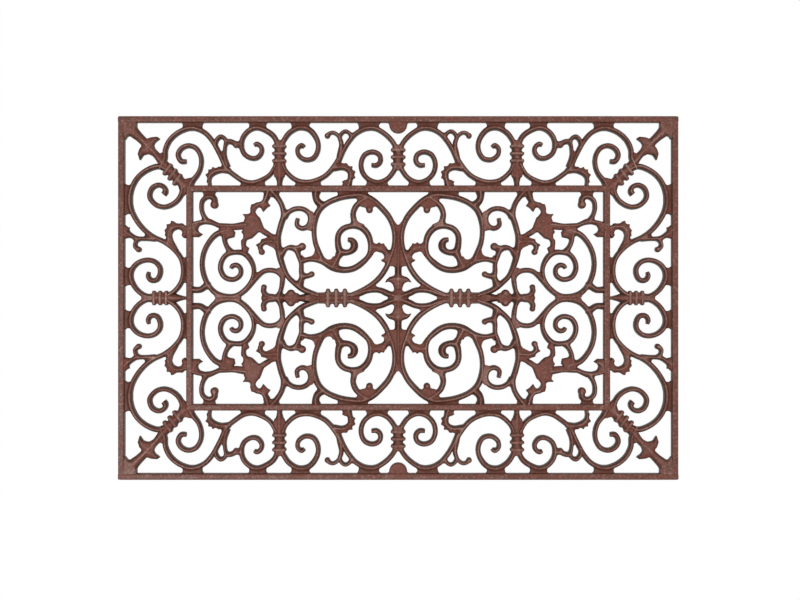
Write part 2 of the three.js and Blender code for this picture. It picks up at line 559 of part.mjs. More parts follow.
// A box that holds everything on the far side of a middle line
function beyond(axis, edge) {
  const size = [HALF[0] * 2 + 20, HALF[1] * 2 + 20];
  const box = new THREE.BoxGeometry(size[0], size[1], MAT_HEIGHT * 4);
  const shift = [0, 0, 0];
  shift[axis] = edge - size[axis] / 2;
  box.translate(...shift);
  return solidFrom(box);
}

// Halves that are joined across a middle line reach over it by this much
const LAP = 0.05;

function largestPiece(solid) {
  const pieces = solid.decompose();
  return pieces.reduce((best, piece) => (piece.volume() > best.volume() ? piece : best));
}

function join(solids) {
  return solids.reduce((whole, solid) => whole.add(solid));
}

// Faces that lie in one plane become one, and edges too short to see go
function simpler(solid) {
  return solid.asOriginal().simplify(FINEST);
}

const COLORS = { rail: '#6d4038', bar: '#73443b', collar: '#67392f' };
const SIDES = { back: 1, front: -1 };
const ENDS = { right: 1, left: -1 };

const mat = new THREE.Group();

function addMesh(name, solid, color) {
  const { vertProperties, triVerts } = solid.getMesh();
  const geometry = new THREE.BufferGeometry();
  geometry.setAttribute('position', new THREE.BufferAttribute(vertProperties, 3));
  geometry.setIndex(new THREE.BufferAttribute(triVerts, 1));
  geometry.computeVertexNormals();
  const material = new THREE.MeshStandardMaterial({
    color: COLORS[color], roughness: 0.62, metalness: 0.35,
  });
  const mesh = new THREE.Mesh(geometry, material);
  mesh.name = name;
  mat.add(mesh);
}

const cutters = [];
for (const { name, spans, shapes, color } of members) {
  const acrossX = spans === 'x' || spans === 'both';
  const acrossY = spans === 'y' || spans === 'both';
  let piece = join(shapes.map((shape) => shape(0)));
  for (const cutter of cutters) piece = piece.subtract(cutter);
  piece = piece.subtract(beyond(0, acrossX ? -LAP : CLEARANCE / 2));
  piece = piece.subtract(beyond(1, acrossY ? -LAP : CLEARANCE / 2));
  cutters.push(join(shapes.map((shape) => shape(CLEARANCE))));
  if (acrossX) piece = piece.add(piece.mirror([1, 0, 0]));
  if (acrossY) piece = piece.add(piece.mirror([0, 1, 0]));
  piece = largestPiece(simpler(piece));
  for (const [side, alongY] of Object.entries(acrossY ? { '': 1 } : SIDES)) {
    for (const [end, alongX] of Object.entries(acrossX ? { '': 1 } : ENDS)) {
      const turnedY = alongY < 0 ? piece.mirror([0, 1, 0]) : piece;
      const placed = alongX < 0 ? turnedY.mirror([1, 0, 0]) : turnedY;
      addMesh([name, side, end].filter(Boolean).join('_'), placed, color);
    }
  }
}

export default mat;
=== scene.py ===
"""Cast iron door mat: the finished look of every member of the casting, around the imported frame."""

import math

import bpy
from bpy.props import FloatProperty, FloatVectorProperty, IntProperty, PointerProperty
from mathutils import Matrix, Vector


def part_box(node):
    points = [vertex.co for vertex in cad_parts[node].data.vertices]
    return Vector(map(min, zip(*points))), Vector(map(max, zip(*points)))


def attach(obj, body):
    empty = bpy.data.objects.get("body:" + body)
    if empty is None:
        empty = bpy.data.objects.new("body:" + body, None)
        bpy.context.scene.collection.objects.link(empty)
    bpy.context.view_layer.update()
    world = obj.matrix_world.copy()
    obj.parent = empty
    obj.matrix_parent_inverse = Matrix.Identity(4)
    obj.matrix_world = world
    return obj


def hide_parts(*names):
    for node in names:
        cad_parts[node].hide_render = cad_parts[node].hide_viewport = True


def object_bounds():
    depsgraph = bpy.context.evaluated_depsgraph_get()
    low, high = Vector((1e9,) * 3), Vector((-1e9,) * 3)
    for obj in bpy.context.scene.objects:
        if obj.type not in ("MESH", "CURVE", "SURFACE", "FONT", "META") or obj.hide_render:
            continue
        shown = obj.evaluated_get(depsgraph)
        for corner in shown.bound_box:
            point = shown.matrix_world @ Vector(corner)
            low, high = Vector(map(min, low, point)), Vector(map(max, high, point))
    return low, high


bl_info = {
    "name": "Cast iron door mat",
    "version": (1, 0, 0),
    "blender": (4, 5, 0),
    "location": "View3D > Sidebar > Door mat",
    "description": "Models an openwork cast iron door mat, member by member",
    "category": "Object",
}

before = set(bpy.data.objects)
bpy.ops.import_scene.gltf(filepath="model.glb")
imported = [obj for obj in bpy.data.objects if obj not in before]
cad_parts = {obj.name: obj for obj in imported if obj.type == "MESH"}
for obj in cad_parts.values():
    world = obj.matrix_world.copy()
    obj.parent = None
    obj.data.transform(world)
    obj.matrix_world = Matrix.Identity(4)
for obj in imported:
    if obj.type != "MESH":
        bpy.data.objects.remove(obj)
CAD_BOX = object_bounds()

MM = 0.001
(_, _, FLOOR_Z), (HALF_X, HALF_Y, TOP_Z) = CAD_BOX

# The scroll points are drawn in millimetres on this grid of rail centre lines
GRID_INNER = (217.6, 113.9)
GRID_OUTER = (288.8, 186.5)


def rail_line(node, axis):
    """Centre line of a straight rail, from its box in the frame."""
    low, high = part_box(node)
    return (low[axis] + high[axis]) / 2


def rail_width(node, axis):
    low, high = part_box(node)
    return high[axis] - low[axis]


OUTER_RAIL = rail_width("outer_end_rail_right", 0)
INNER_RAIL = rail_width("inner_end_rail_right", 0)
INNER_LINE = (rail_line("inner_end_rail_right", 0), rail_line("inner_long_rail_back", 1))
OUTER_LINE = (rail_line("outer_end_rail_right", 0), HALF_Y - OUTER_RAIL / 2)


class MatSizes(bpy.types.PropertyGroup):
    """Sizes of the casting's sections"""

    bar_width: FloatProperty(
        name="Bar width", description="Width of a plain scroll bar at its base",
        default=5.8 * MM, unit="LENGTH",
    )
    draft: FloatProperty(
        name="Draft", description="How far a bar's side leans in from its base to its shoulder",
        default=0.45 * MM, unit="LENGTH",
    )
    crest: FloatProperty(
        name="Crest", description="Height of the rounded crest above a bar's shoulders",
        default=3.2 * MM, unit="LENGTH",
    )
    bar_drop: FloatProperty(
        name="Bar drop", description="How far the bars' crests lie below the rails",
        default=0.15 * MM, unit="LENGTH",
    )
    leaf_drop: FloatProperty(
        name="Leaf drop", description="How far the leaves' edges lie below the rails",
        default=3.2 * MM, unit="LENGTH",
    )
    pad_drop: FloatProperty(
        name="Pad drop", description="How far the fillers between two bars lie below the rails",
        default=2.4 * MM, unit="LENGTH",
    )
    web_drop: FloatProperty(
        name="Web drop", description="How far the thin webs beside the rails lie below them",
        default=3.3 * MM, unit="LENGTH",
    )
    web_flare: FloatProperty(
        name="Web flare", description="How far a web widens where it leaves its rail",
        default=2.5 * MM, unit="LENGTH",
    )
    web_reach: FloatProperty(
        name="Web reach", description="How far a web stands out from its rail",
        default=5 * MM, unit="LENGTH",
    )
    ring_width: FloatProperty(
        name="Ring width", description="Width of one ring of a collar",
        default=4.8 * MM, unit="LENGTH",
    )
    ring_rise: FloatProperty(
        name="Ring rise", description="How far a ring's dome stands above the rails",
        default=0.25 * MM, unit="LENGTH",
    )
    ring_flat: FloatProperty(
        name="Ring flat", description="Share of a ring's length that has its full width",
        default=0.45, min=0.0, max=0.9, subtype="FACTOR",
    )
    ring_taper: FloatProperty(
        name="Ring taper", description="Share of its width that a ring loses at its ends",
        default=0.32, min=0.0, max=0.9, subtype="FACTOR",
    )
    fillet: FloatProperty(
        name="Fillet", description="Radius that fills the inner corners of the casting",
        default=0.9 * MM, unit="LENGTH",
    )
    grain: FloatProperty(
        name="Skin size", description="Size of the facets that the casting's skin is made from",
        default=0.62 * MM, unit="LENGTH",
    )
    smoothing: IntProperty(
        name="Smoothing", description="Rounds of smoothing, which leave the fillets of a casting",
        default=3, min=0,
    )
    kept: FloatProperty(
        name="Faces kept", description="Share of the skin's faces that is kept",
        default=0.24, min=0.05, max=1.0, subtype="FACTOR",
    )


class MatColours(bpy.types.PropertyGroup):
    """Colours of the iron and of the floor"""

    body: FloatVectorProperty(
        name="Iron", description="Rust-brown skin of the casting",
        subtype="COLOR", size=3, default=(0.124, 0.041, 0.027),
    )
    # Lighter, greyer brown of the crests: partly real rubbing, partly a painted highlight
    worn_and_highlight: FloatVectorProperty(
        name="Worn iron", description="Greyer brown where soles have rubbed the crests",
        subtype="COLOR", size=3, default=(0.370, 0.235, 0.200),
    )
    # Painted shade: the dark brown laid on the steep sides and on the lowest iron, where shade falls
    painted_shade_brown: FloatVectorProperty(
        name="Deep iron", description="Dark brown of the steep sides",
        subtype="COLOR", size=3, default=(0.052, 0.019, 0.013),
    )
    rust: FloatVectorProperty(
        name="Rust", description="Redder brown in the hollows that stay wet",
        subtype="COLOR", size=3, default=(0.158, 0.041, 0.027),
    )
    # Olive brown of the damp spots; it also tints the painted shade on the sides and the lowest iron
    stain_and_shade: FloatVectorProperty(
        name="Stain", description="Olive brown of the damp spots",
        subtype="COLOR", size=3, default=(0.056, 0.035, 0.021),
    )
    floor: FloatVectorProperty(
        name="Floor", description="Plain pale floor",
        subtype="COLOR", size=3, default=(0.9, 0.9, 0.9),
    )


# Lines of the drawing


def stretch(value, axis):
    """From the drawing's grid to the mat, along one axis, in metres."""
    inner = GRID_INNER[axis]
    if value <= inner:
        return value * INNER_LINE[axis] / inner
    share = (value - inner) / (GRID_OUTER[axis] - inner)
    return INNER_LINE[axis] + share * (OUTER_LINE[axis] - INNER_LINE[axis])


def on_mat(point):
    return Vector((stretch(point[0], 0), stretch(point[1], 1)))


def smooth_line(points, widths, steps=9):
    """A smooth line through the points, as (place, width) pairs: a centripetal Catmull-Rom curve."""
    knots = [Vector((*place, width)) for place, width in zip(points, widths)]
    if len(knots) == 2:
        knots.insert(1, (knots[0] + knots[1]) / 2)
    knots = [2 * knots[0] - knots[1], *knots, 2 * knots[-1] - knots[-2]]
    line = []
    for a, b, c, d in zip(knots, knots[1:], knots[2:], knots[3:]):
        times = [0.0]
        for start, end in ((a, b), (b, c), (c, d)):
            times.append(times[-1] + max((end - start).length, 1e-6) ** 0.5)
        t0, t1, t2, t3 = times
        for step in range(steps):
            t = t1 + (t2 - t1) * step / steps
            ab = a + (b - a) * ((t - t0) / (t1 - t0))
            bc = b + (c - b) * ((t - t1) / (t2 - t1))
            cd = c + (d - c) * ((t - t2) / (t3 - t2))
            abc = ab + (bc - ab) * ((t - t0) / (t2 - t0))
            bcd = bc + (cd - bc) * ((t - t1) / (t3 - t1))
            line.append(abc + (bcd - abc) * ((t - t1) / (t2 - t1)))
    line.append(knots[-2])
    return [(Vector(p[:2]), p[2]) for p in line]


def deselect_all():
    if bpy.context.object and bpy.context.object.mode != "OBJECT":
        bpy.ops.object.mode_set(mode="OBJECT")
    bpy.ops.object.select_all(action="DESELECT")


def select_only(*objects):
    deselect_all()
    for obj in objects:
        obj.select_set(True)
    bpy.context.view_layer.objects.active = objects[0]


def apply_place():
    bpy.ops.object.transform_apply(location=True, rotation=True, scale=True)


def bevel_all(offset, segments):
    """Rounds every edge of the active object."""
    bpy.ops.object.mode_set(mode="EDIT")
    bpy.ops.mesh.select_all(action="SELECT")
    bpy.ops.mesh.bevel(offset=offset, segments=segments, affect="EDGES")
    bpy.ops.object.mode_set(mode="OBJECT")


# A crest is at most this many times as high as half its width
SLENDER_CREST = 1.6
# Power of the crest's curve, where 2 is a parabola
CREST_CURVE = 1.9
# How far a shoulder falls over each millimetre that it is wide
SHOULDER_FALL = 0.3
# Share of a ball end's height that is its round stem
BALL_STEM = 0.62
# How far the middle of a leaf or of a filler stands above its edge, in millimetres
LEAF_CROWN = 1.9
PAD_CROWN = 0.4
# The two steps up to it: the width of each in millimetres, and its share of the crown
CROWN_STEPS = ((0.9, 0.6), (0.9 * 1.7, 0.4))
# A tooth of a leaf is drawn out by this share of its height, up to the limit
TOOTH_SHARE = 0.3
TOOTH_LIMIT = 0.5 * MM
# Radius that rounds a ring, as a share of its width
RING_ROUND = 0.36
# How deep a web is rooted in its rail, in millimetres
WEB_ROOT = 1.5
# Faces that webs stand on: the rail's direction, the face's place on the grid, and the way out
WEB_FACES = {
    "outer_long": ("x", GRID_OUTER[1] - OUTER_RAIL / 2 / MM, -1),
    "inner_long": ("x", GRID_INNER[1] + INNER_RAIL / 2 / MM, 1),
    "under_inner_long": ("x", GRID_INNER[1] - INNER_RAIL / 2 / MM, -1),
    "outer_end": ("y", GRID_OUTER[0] - OUTER_RAIL / 2 / MM, -1),
    "inner_end": ("y", GRID_INNER[0] + INNER_RAIL / 2 / MM, 1),
}


class Member:
    """Gathers the shapes of one quarter's member, and casts them into one skin."""

    def __init__(self, context):
        self.sizes = context.scene.door_mat_sizes
        self.shapes = []

    def bar(self, points, width=None, drop=None, broad=False):
        """A ridged bar through the points (x, y) or (x, y, width).

        Where it is wider than a plain bar, low shoulders flank the ridge, unless it is broad all over.
        """
        sizes = self.sizes
        width = width or sizes.bar_width / MM
        widths = [(p[2] if len(p) > 2 else width) * MM for p in points]
        line = smooth_line([on_mat(p) for p in points], widths)
        top = TOP_Z - (sizes.bar_drop if drop is None else drop)
        vertices, faces = [], []
        for index, (place, across) in enumerate(line):
            before = line[max(index - 1, 0)][0]
            after = line[min(index + 1, len(line) - 1)][0]
            along = (after - before).normalized()
            side = Vector((-along.y, along.x))
            section = self.section(across / 2, top, broad)
            for offset, height in section:
                spot = place + side * offset
                vertices.append((spot.x, spot.y, height))
        count = len(section)
        for index in range(len(line) - 1):
            for corner in range(count):
                a = index * count + corner
                b = index * count + (corner + 1) % count
                faces.append((a, a + count, b + count, b))
        faces.append(tuple(range(count)))
        faces.append(tuple(reversed(range(len(vertices) - count, len(vertices)))))
        mesh = bpy.data.meshes.new("bar")
        mesh.from_pydata(vertices, [], faces)
        obj = bpy.data.objects.new("bar", mesh)
        bpy.context.collection.objects.link(obj)
        self.shapes.append(obj)

    def section(self, half, top, broad):
        """Points (offset, height) of a bar's section: flat below, a rounded ridge above."""
        sizes = self.sizes
        flank = half - sizes.draft
        ridge = flank if broad else min(flank, sizes.bar_width / 2 - sizes.draft)
        crest = min(sizes.crest, ridge * SLENDER_CREST)
        foot = top - crest
        edge = foot - (flank - ridge) * SHOULDER_FALL
        right = [(half, FLOOR_Z), (flank, edge), (ridge, foot)]
        right += [(ridge * t, foot + crest * (1 - t ** CREST_CURVE)) for t in (0.75, 0.5, 0.25)]
        left = [(-offset, height) for offset, height in reversed(right)]
        return right + [(0, top)] + left

    def ball(self, x, y, radius, rise=0.0):
        """A domed ball end on a round stem, with its radius and its rise in millimetres."""
        place = on_mat((x, y))
        high = TOP_Z - FLOOR_Z + rise * MM - self.sizes.bar_drop
        stem = high * BALL_STEM
        bpy.ops.mesh.primitive_cylinder_add(
            vertices=24, radius=radius * MM, depth=stem,
            location=(place.x, place.y, FLOOR_Z + stem / 2),
        )
        apply_place()
        self.shapes.append(bpy.context.object)
        bpy.ops.mesh.primitive_uv_sphere_add(
            segments=24, ring_count=12, radius=radius * MM,
            location=(place.x, place.y, FLOOR_Z + stem),
            scale=(1, 1, (high - stem) / (radius * MM)),
        )
        apply_place()
        self.shapes.append(bpy.context.object)

    def leaf(self, outline, drop=None, crown=LEAF_CROWN, tooth_share=TOOTH_SHARE):
        """A leaf with the drawn outline, raised by its crown in two steps towards its middle.

        Its teeth are drawn out a little, because the skin's fillets take as much back.
        """
        drop = self.sizes.leaf_drop if drop is None else drop
        places = [on_mat(point) for point in outline]
        sharp = []
        for before, place, after in zip(places[-1:] + places, places, places[1:] + places[:1]):
            tip = place - (before + after) / 2
            sharp.append(place + tip * min(tooth_share, TOOTH_LIMIT / max(tip.length, MM)))
        bpy.ops.mesh.primitive_circle_add(vertices=len(outline), fill_type="NGON")
        obj = bpy.context.object
        obj.name = "leaf"
        for vertex, place in zip(obj.data.vertices, sharp):
            vertex.co = (place.x, place.y, FLOOR_Z)
        bpy.ops.object.mode_set(mode="EDIT")
        bpy.ops.mesh.select_all(action="SELECT")
        bpy.ops.mesh.normals_make_consistent(inside=False)
        bpy.ops.mesh.extrude_region_move(
            TRANSFORM_OT_translate={"value": (0, 0, TOP_Z - FLOOR_Z - drop)},
        )
        for width, share in CROWN_STEPS:
            bpy.ops.mesh.inset(thickness=width * MM, depth=0)
            bpy.ops.transform.translate(value=(0, 0, crown * share * MM))
        bpy.ops.mesh.select_all(action="SELECT")
        bpy.ops.mesh.quads_convert_to_tris()
        bpy.ops.mesh.normals_make_consistent(inside=False)
        bpy.ops.object.mode_set(mode="OBJECT")
        self.shapes.append(obj)

    def pad(self, outline, drop=None):
        """Lower iron that fills the corner between two bars."""
        drop = self.sizes.pad_drop if drop is None else drop
        self.leaf(outline, drop=drop, crown=PAD_CROWN, tooth_share=0.0)

    def ring(self, x, y, length, angle, width=None):
        """One domed ring of a collar, lying across the collar, with tapered ends."""
        place = on_mat((x, y))
        width = self.sizes.ring_width if width is None else width
        high = TOP_Z - FLOOR_Z + self.sizes.ring_rise
        bpy.ops.mesh.primitive_cube_add(
            size=1, location=(place.x, place.y, FLOOR_Z + high / 2),
            rotation=(0, 0, math.radians(angle)), scale=(length * MM, width, high),
        )
        obj = bpy.context.object
        obj.name = "ring"
        apply_place()
        bevel_all(width * RING_ROUND, segments=4)
        turn = math.radians(angle)
        along = Vector((math.cos(turn), math.sin(turn)))
        side = Vector((-along.y, along.x))
        for vertex in obj.data.vertices:
            offset = vertex.co.xy - place
            past = max(abs(offset.dot(along)) / (length * MM / 2) - self.sizes.ring_flat, 0)
            narrower = self.sizes.ring_taper * past / (1 - self.sizes.ring_flat)
            vertex.co.xy = vertex.co.xy - side * offset.dot(side) * narrower
        self.shapes.append(obj)

    def web(self, rail, start, end):
        """A low web from a rail's face to the arc beside it, from start to end along the rail.

        It is flared where it leaves the rail.
        """
        along, face, out = WEB_FACES[rail]
        reach = self.sizes.web_reach / MM
        flare = self.sizes.web_flare / MM
        # One end's outline, from the root in the rail to the tip
        half = [(-flare, -WEB_ROOT), (-flare, 0.3), (-flare * 0.3, flare * 0.5),
                (-flare * 0.5, reach * 0.6), (0.0, reach)]
        outline = [(start + shift, face + out * reached) for shift, reached in half]
        outline += [(end - shift, face + out * reached) for shift, reached in reversed(half)]
        if along == "y":
            outline = [(y, x) for x, y in outline]
        self.pad(outline, drop=self.sizes.web_drop)

    def cast(self, name, spans, slot):
        """Fuses the shapes into one skin and sets its copies in their places.

        spans says which middle lines one piece crosses: "", "x", "y" or "xy".
        """
        select_only(*self.shapes)
        bpy.ops.object.join()
        piece = bpy.context.object
        for axis in spans:
            select_only(piece)
            bpy.ops.object.duplicate()
            half = bpy.context.object
            mirror_mesh(half.data, axis)
            select_only(piece, half)
            bpy.ops.object.join()
        skin(piece, self.sizes)
        sides = {"": 1} if "y" in spans else {"_back": 1, "_front": -1}
        ends = {"": 1} if "x" in spans else {"_right": 1, "_left": -1}
        for side, along_y in sides.items():
            for end, along_x in ends.items():
                node = name + side + end
                mesh = piece.data.copy()
                if along_x < 0:
                    mirror_mesh(mesh, "x")
                if along_y < 0:
                    mirror_mesh(mesh, "y")
                copy = bpy.data.objects.new("iron_" + node, mesh)
                mesh.name = copy.name
                bpy.context.collection.objects.link(copy)
                settle(copy, node, slot)
        bpy.data.objects.remove(piece)


def mirror_mesh(mesh, axis):
    scale = (-1, 1, 1, 1) if axis == "x" else (1, -1, 1, 1)
    mesh.transform(Matrix.Diagonal(scale))
    mesh.flip_normals()


def skin(piece, sizes):
    """The skin of a casting: one closed surface, with fillets where its shapes meet."""
    select_only(piece)
    for name, offset in (("swollen", sizes.fillet), ("drawn_in", -sizes.fillet)):
        remesh = piece.modifiers.new("skin", "REMESH")
        remesh.mode = "VOXEL"
        remesh.voxel_size = sizes.grain
        bpy.ops.object.modifier_apply(modifier="skin")
        displace = piece.modifiers.new(name, "DISPLACE")
        displace.strength = offset
        displace.mid_level = 0.0
        bpy.ops.object.modifier_apply(modifier=name)
    smooth = piece.modifiers.new("fillets", "SMOOTH")
    smooth.factor = 0.5
    smooth.iterations = sizes.smoothing
    thin = piece.modifiers.new("thinned", "DECIMATE")
    thin.ratio = sizes.kept
    thin.use_collapse_triangulate = True
    for modifier in ("fillets", "thinned"):
        bpy.ops.object.modifier_apply(modifier=modifier)
    bpy.ops.object.shade_smooth()
    for vertex in piece.data.vertices:
        vertex.co.z = max(vertex.co.z, FLOOR_Z)


def settle(piece, node, slot):
    """Gives a finished piece the material of its slot and its body, and hides the frame's part for its
    node.
    """
    piece.data.materials.clear()
    piece.data.materials.append(bpy.data.materials["finish_" + slot])
    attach(piece, "root")
    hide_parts(node)


# Frames

# How far a rail's side leans in, and the radius of its arrises
RAIL_LEAN = 0.3 * MM
RAIL_ARRIS = 1.3 * MM
# Rails that meet are stepped down by a hair each, so no two tops lie in one plane
HAIR = 0.04 * MM
# The lobe is a disc whose centre lies a little way in from its rail
LOBE_RADIUS = 9.5 * MM
LOBE_INSET = 1.5 * MM
LOBE_DROP = 1.2 * MM
LOBE_ARRIS = 1.1 * MM


class DOORMAT_OT_outer_frame(bpy.types.Operator):
    """Models the four outer rails, with the half-round lobes of the long ones"""

    bl_idname = "door_mat.outer_frame"
    bl_label = "Outer frame"

    def execute(self, context):
        sizes = context.scene.door_mat_sizes
        for side, along in (("back", 1), ("front", -1)):
            y = along * OUTER_LINE[1]
            rail = straight_rail((-HALF_X, y), (HALF_X, y), OUTER_RAIL)
            lobe = rail_lobe(along)
            select_only(rail, lobe)
            bpy.ops.object.join()
            cast_rail(rail, "outer_long_rail_" + side, sizes)
        for end, along in (("right", 1), ("left", -1)):
            x = along * OUTER_LINE[0]
            rail = straight_rail((x, -OUTER_LINE[1]), (x, OUTER_LINE[1]), OUTER_RAIL, drop=HAIR)
            cast_rail(rail, "outer_end_rail_" + end, sizes)
        return {"FINISHED"}


class DOORMAT_OT_inner_frame(bpy.types.Operator):
    """Models the four inner rails"""

    bl_idname = "door_mat.inner_frame"
    bl_label = "Inner frame"

    def execute(self, context):
        sizes = context.scene.door_mat_sizes
        reach = INNER_LINE[0] + INNER_RAIL / 2
        for side, along in (("back", 1), ("front", -1)):
            y = along * INNER_LINE[1]
            rail = straight_rail((-reach, y), (reach, y), INNER_RAIL, drop=2 * HAIR)
            cast_rail(rail, "inner_long_rail_" + side, sizes)
        for end, along in (("right", 1), ("left", -1)):
            x = along * INNER_LINE[0]
            rail = straight_rail((x, -INNER_LINE[1]), (x, INNER_LINE[1]), INNER_RAIL, drop=3 * HAIR)
            cast_rail(rail, "inner_end_rail_" + end, sizes)
        return {"FINISHED"}


def straight_rail(start, end, width, drop=0.0):
    """A flat-topped rail with drafted sides and rounded arrises."""
    deselect_all()
    length = (Vector(end) - Vector(start)).length
    lengthwise = start[1] == end[1]
    high = TOP_Z - FLOOR_Z - drop
    bpy.ops.mesh.primitive_cube_add(
        size=1,
        location=((start[0] + end[0]) / 2, (start[1] + end[1]) / 2, FLOOR_Z + high / 2),
        scale=(length, width, high) if lengthwise else (width, length, high),
    )
    obj = bpy.context.object
    apply_place()
    across = 1 if lengthwise else 0
    middle = (start[across] + end[across]) / 2
    for vertex in obj.data.vertices:
        if vertex.co.z > FLOOR_Z + high / 2:
            vertex.co[across] -= math.copysign(RAIL_LEAN, vertex.co[across] - middle)
    bevel_all(RAIL_ARRIS, segments=3)
    return obj


def cast_rail(rail, node, sizes):
    skin(rail, sizes)
    rail.name = "iron_" + node
    settle(rail, node, "rail_iron")


def rail_lobe(along):
    """The half-round lobe at the middle of a long outer rail: a disc cut off in the rail."""
    deselect_all()
    centre = OUTER_LINE[1] - OUTER_RAIL / 2 - LOBE_INSET
    high = TOP_Z - FLOOR_Z - LOBE_DROP
    bpy.ops.mesh.primitive_cylinder_add(
        vertices=48, radius=LOBE_RADIUS, depth=high,
        location=(0, along * centre, FLOOR_Z + high / 2),
    )
    lobe = bpy.context.object
    apply_place()
    bevel_all(LOBE_ARRIS, segments=3)
    bpy.ops.object.mode_set(mode="EDIT")
    bpy.ops.mesh.select_all(action="SELECT")
    bpy.ops.mesh.bisect(
        plane_co=(0, along * OUTER_LINE[1], 0), plane_no=(0, along, 0),
        use_fill=True, clear_outer=True,
    )
    bpy.ops.object.mode_set(mode="OBJECT")
    return lobe


# Border and panel

# How far parts that are neither plain bars nor plain fillers lie below the rails
CORNER_TIP_DROP = 0.1 * MM
CORNER_PAD_DROP = 0.8 * MM
BARB_DROP = 0.5 * MM
COLLAR_DROP = 0.9 * MM
END_COLLAR_DROP = 0.8 * MM
CLASP_DROP = 1.6 * MM
FLUTE_DROP = 0.4 * MM
JOINT_PAD_DROP = 1.0 * MM
STEM_PAD_DROP = 1.2 * MM
BRIDGE_DROP = 0.9 * MM
SPEAR_DROP = 1.5 * MM
SPEAR_RIDGE_DROP = 0.2 * MM
# Rings of the corner spears and of the clasps are wider than the others
CORNER_RING_WIDTH = 5.2 * MM
CLASP_RING_WIDTH = 6 * MM


class DOORMAT_OT_corner_spears(bpy.types.Operator):
    """Models the barbed corner spears, their collars and the curls at their feet"""

    bl_idname = "door_mat.corner_spears"
    bl_label = "Corner spears"

    def execute(self, context):
        m = Member(context)
        m.bar([(286, 184, 15), (280, 178, 13), (276.6, 173.5, 12), (271.4, 168.7, 10),
               (264.4, 161.8, 9), (256, 153, 7.6), (252, 148.5, 8), (246, 141, 9)],
              broad=True, drop=CORNER_TIP_DROP)
        m.pad([(290, 187), (272.8, 185), (272.8, 178.5), (276, 173), (281.6, 170.2), (285.2, 165)],
              drop=CORNER_PAD_DROP)
        m.leaf([(266, 165), (262, 166.5), (258, 167.8), (252, 168.3), (249, 166.4), (252.6, 163.3),
                (254.8, 159.9), (253, 154), (249.4, 149.4), (252, 148), (262, 158)])
        m.leaf([(264, 162), (267, 159.3), (270.1, 155.6), (271.6, 150.3), (269.8, 143.6), (266, 148.6),
                (261, 149.9), (254.8, 147), (250, 143), (249, 148), (258, 158)])
        m.bar([(263, 160.5, 5), (258.5, 162, 4.6), (254, 165, 4), (250.6, 165.9, 2.4)], drop=BARB_DROP)
        m.bar([(260, 157.5, 5), (264, 155.5, 4.6), (268, 151, 4), (269.2, 146.6, 2.4)], drop=BARB_DROP)
        m.pad([(252, 149), (245.4, 152.6), (241, 139), (238, 133), (247, 134), (250.6, 138.6),
               (251, 142)])
        m.bar([(249, 144.5, 9), (243, 138, 9.8), (230, 124.4, 10), (222, 116.5, 10), (217.6, 112, 9)],
              drop=COLLAR_DROP, broad=True)
        for step in range(3):
            m.ring(240.6 - 5.1 * step, 134.0 - 5.3 * step, 14.8, -53, width=CORNER_RING_WIDTH)
        m.pad([(223.6, 123.8), (217, 125.6), (213.4, 121), (213, 115), (220, 111), (223.4, 106.6),
               (227, 108), (230, 118)])
        m.bar([(219, 114.5, 8), (214.8, 122.2, 6.4), (208.7, 130.4, 5.5), (205.9, 139, 5.4),
               (206.5, 148.6, 5.5), (211.8, 157), (219.6, 159.3), (227, 155.8), (230, 149.2),
               (226.6, 142.8, 6), (221, 142.8, 5.4)])
        m.bar([(229, 123, 8), (225.4, 114, 6.4), (228.5, 104.6), (235.5, 98), (244.4, 95),
               (253.5, 97.4), (259.7, 105.4), (257.2, 114.6), (250.2, 118), (244.4, 115.2, 5.6),
               (242.9, 110.9, 5.8), (245.3, 108, 7)])
        m.cast("corner_spear", "", "collar_iron")
        return {"FINISHED"}


class DOORMAT_OT_corner_scrolls(bpy.types.Operator):
    """Models the wide arcs of the long borders, with their serrated leaves"""

    bl_idname = "door_mat.corner_scrolls"
    bl_label = "Corner scrolls"

    def execute(self, context):
        m = Member(context)
        m.bar([(249, 134, 7), (243.8, 146), (243.3, 155), (238.4, 165.4), (228.5, 173.8),
               (215.2, 177.7), (203.2, 173.7), (194.7, 164.9), (185.6, 148.4), (179.4, 135.5),
               (170, 127.3), (161.5, 122), (152, 120.4), (142, 123.5), (133.7, 129.2, 5.3),
               (127, 140.5, 5)])
        m.bar([(175, 132.5, 7), (185, 133.2, 6), (192.4, 131, 6.4), (196.8, 126.3, 5.2),
               (197, 119, 4.3), (196.6, 113.5, 8)])
        m.leaf([(182, 134), (187, 137), (190.5, 135.6), (193.5, 136.8), (195, 134.4), (198.2, 134),
                (198.2, 131), (201, 128.6), (199.4, 125), (199.8, 121), (197, 120), (194.2, 129.2)])
        m.pad([(185.2, 147.5), (180, 137), (172, 129), (179, 131), (190, 131), (190, 135.5),
               (181.8, 136.2)])
        m.web("outer_long", 205.5, 224)
        m.web("inner_long", 140.5, 163)
        m.cast("corner_scroll", "", "scroll_iron")
        return {"FINISHED"}


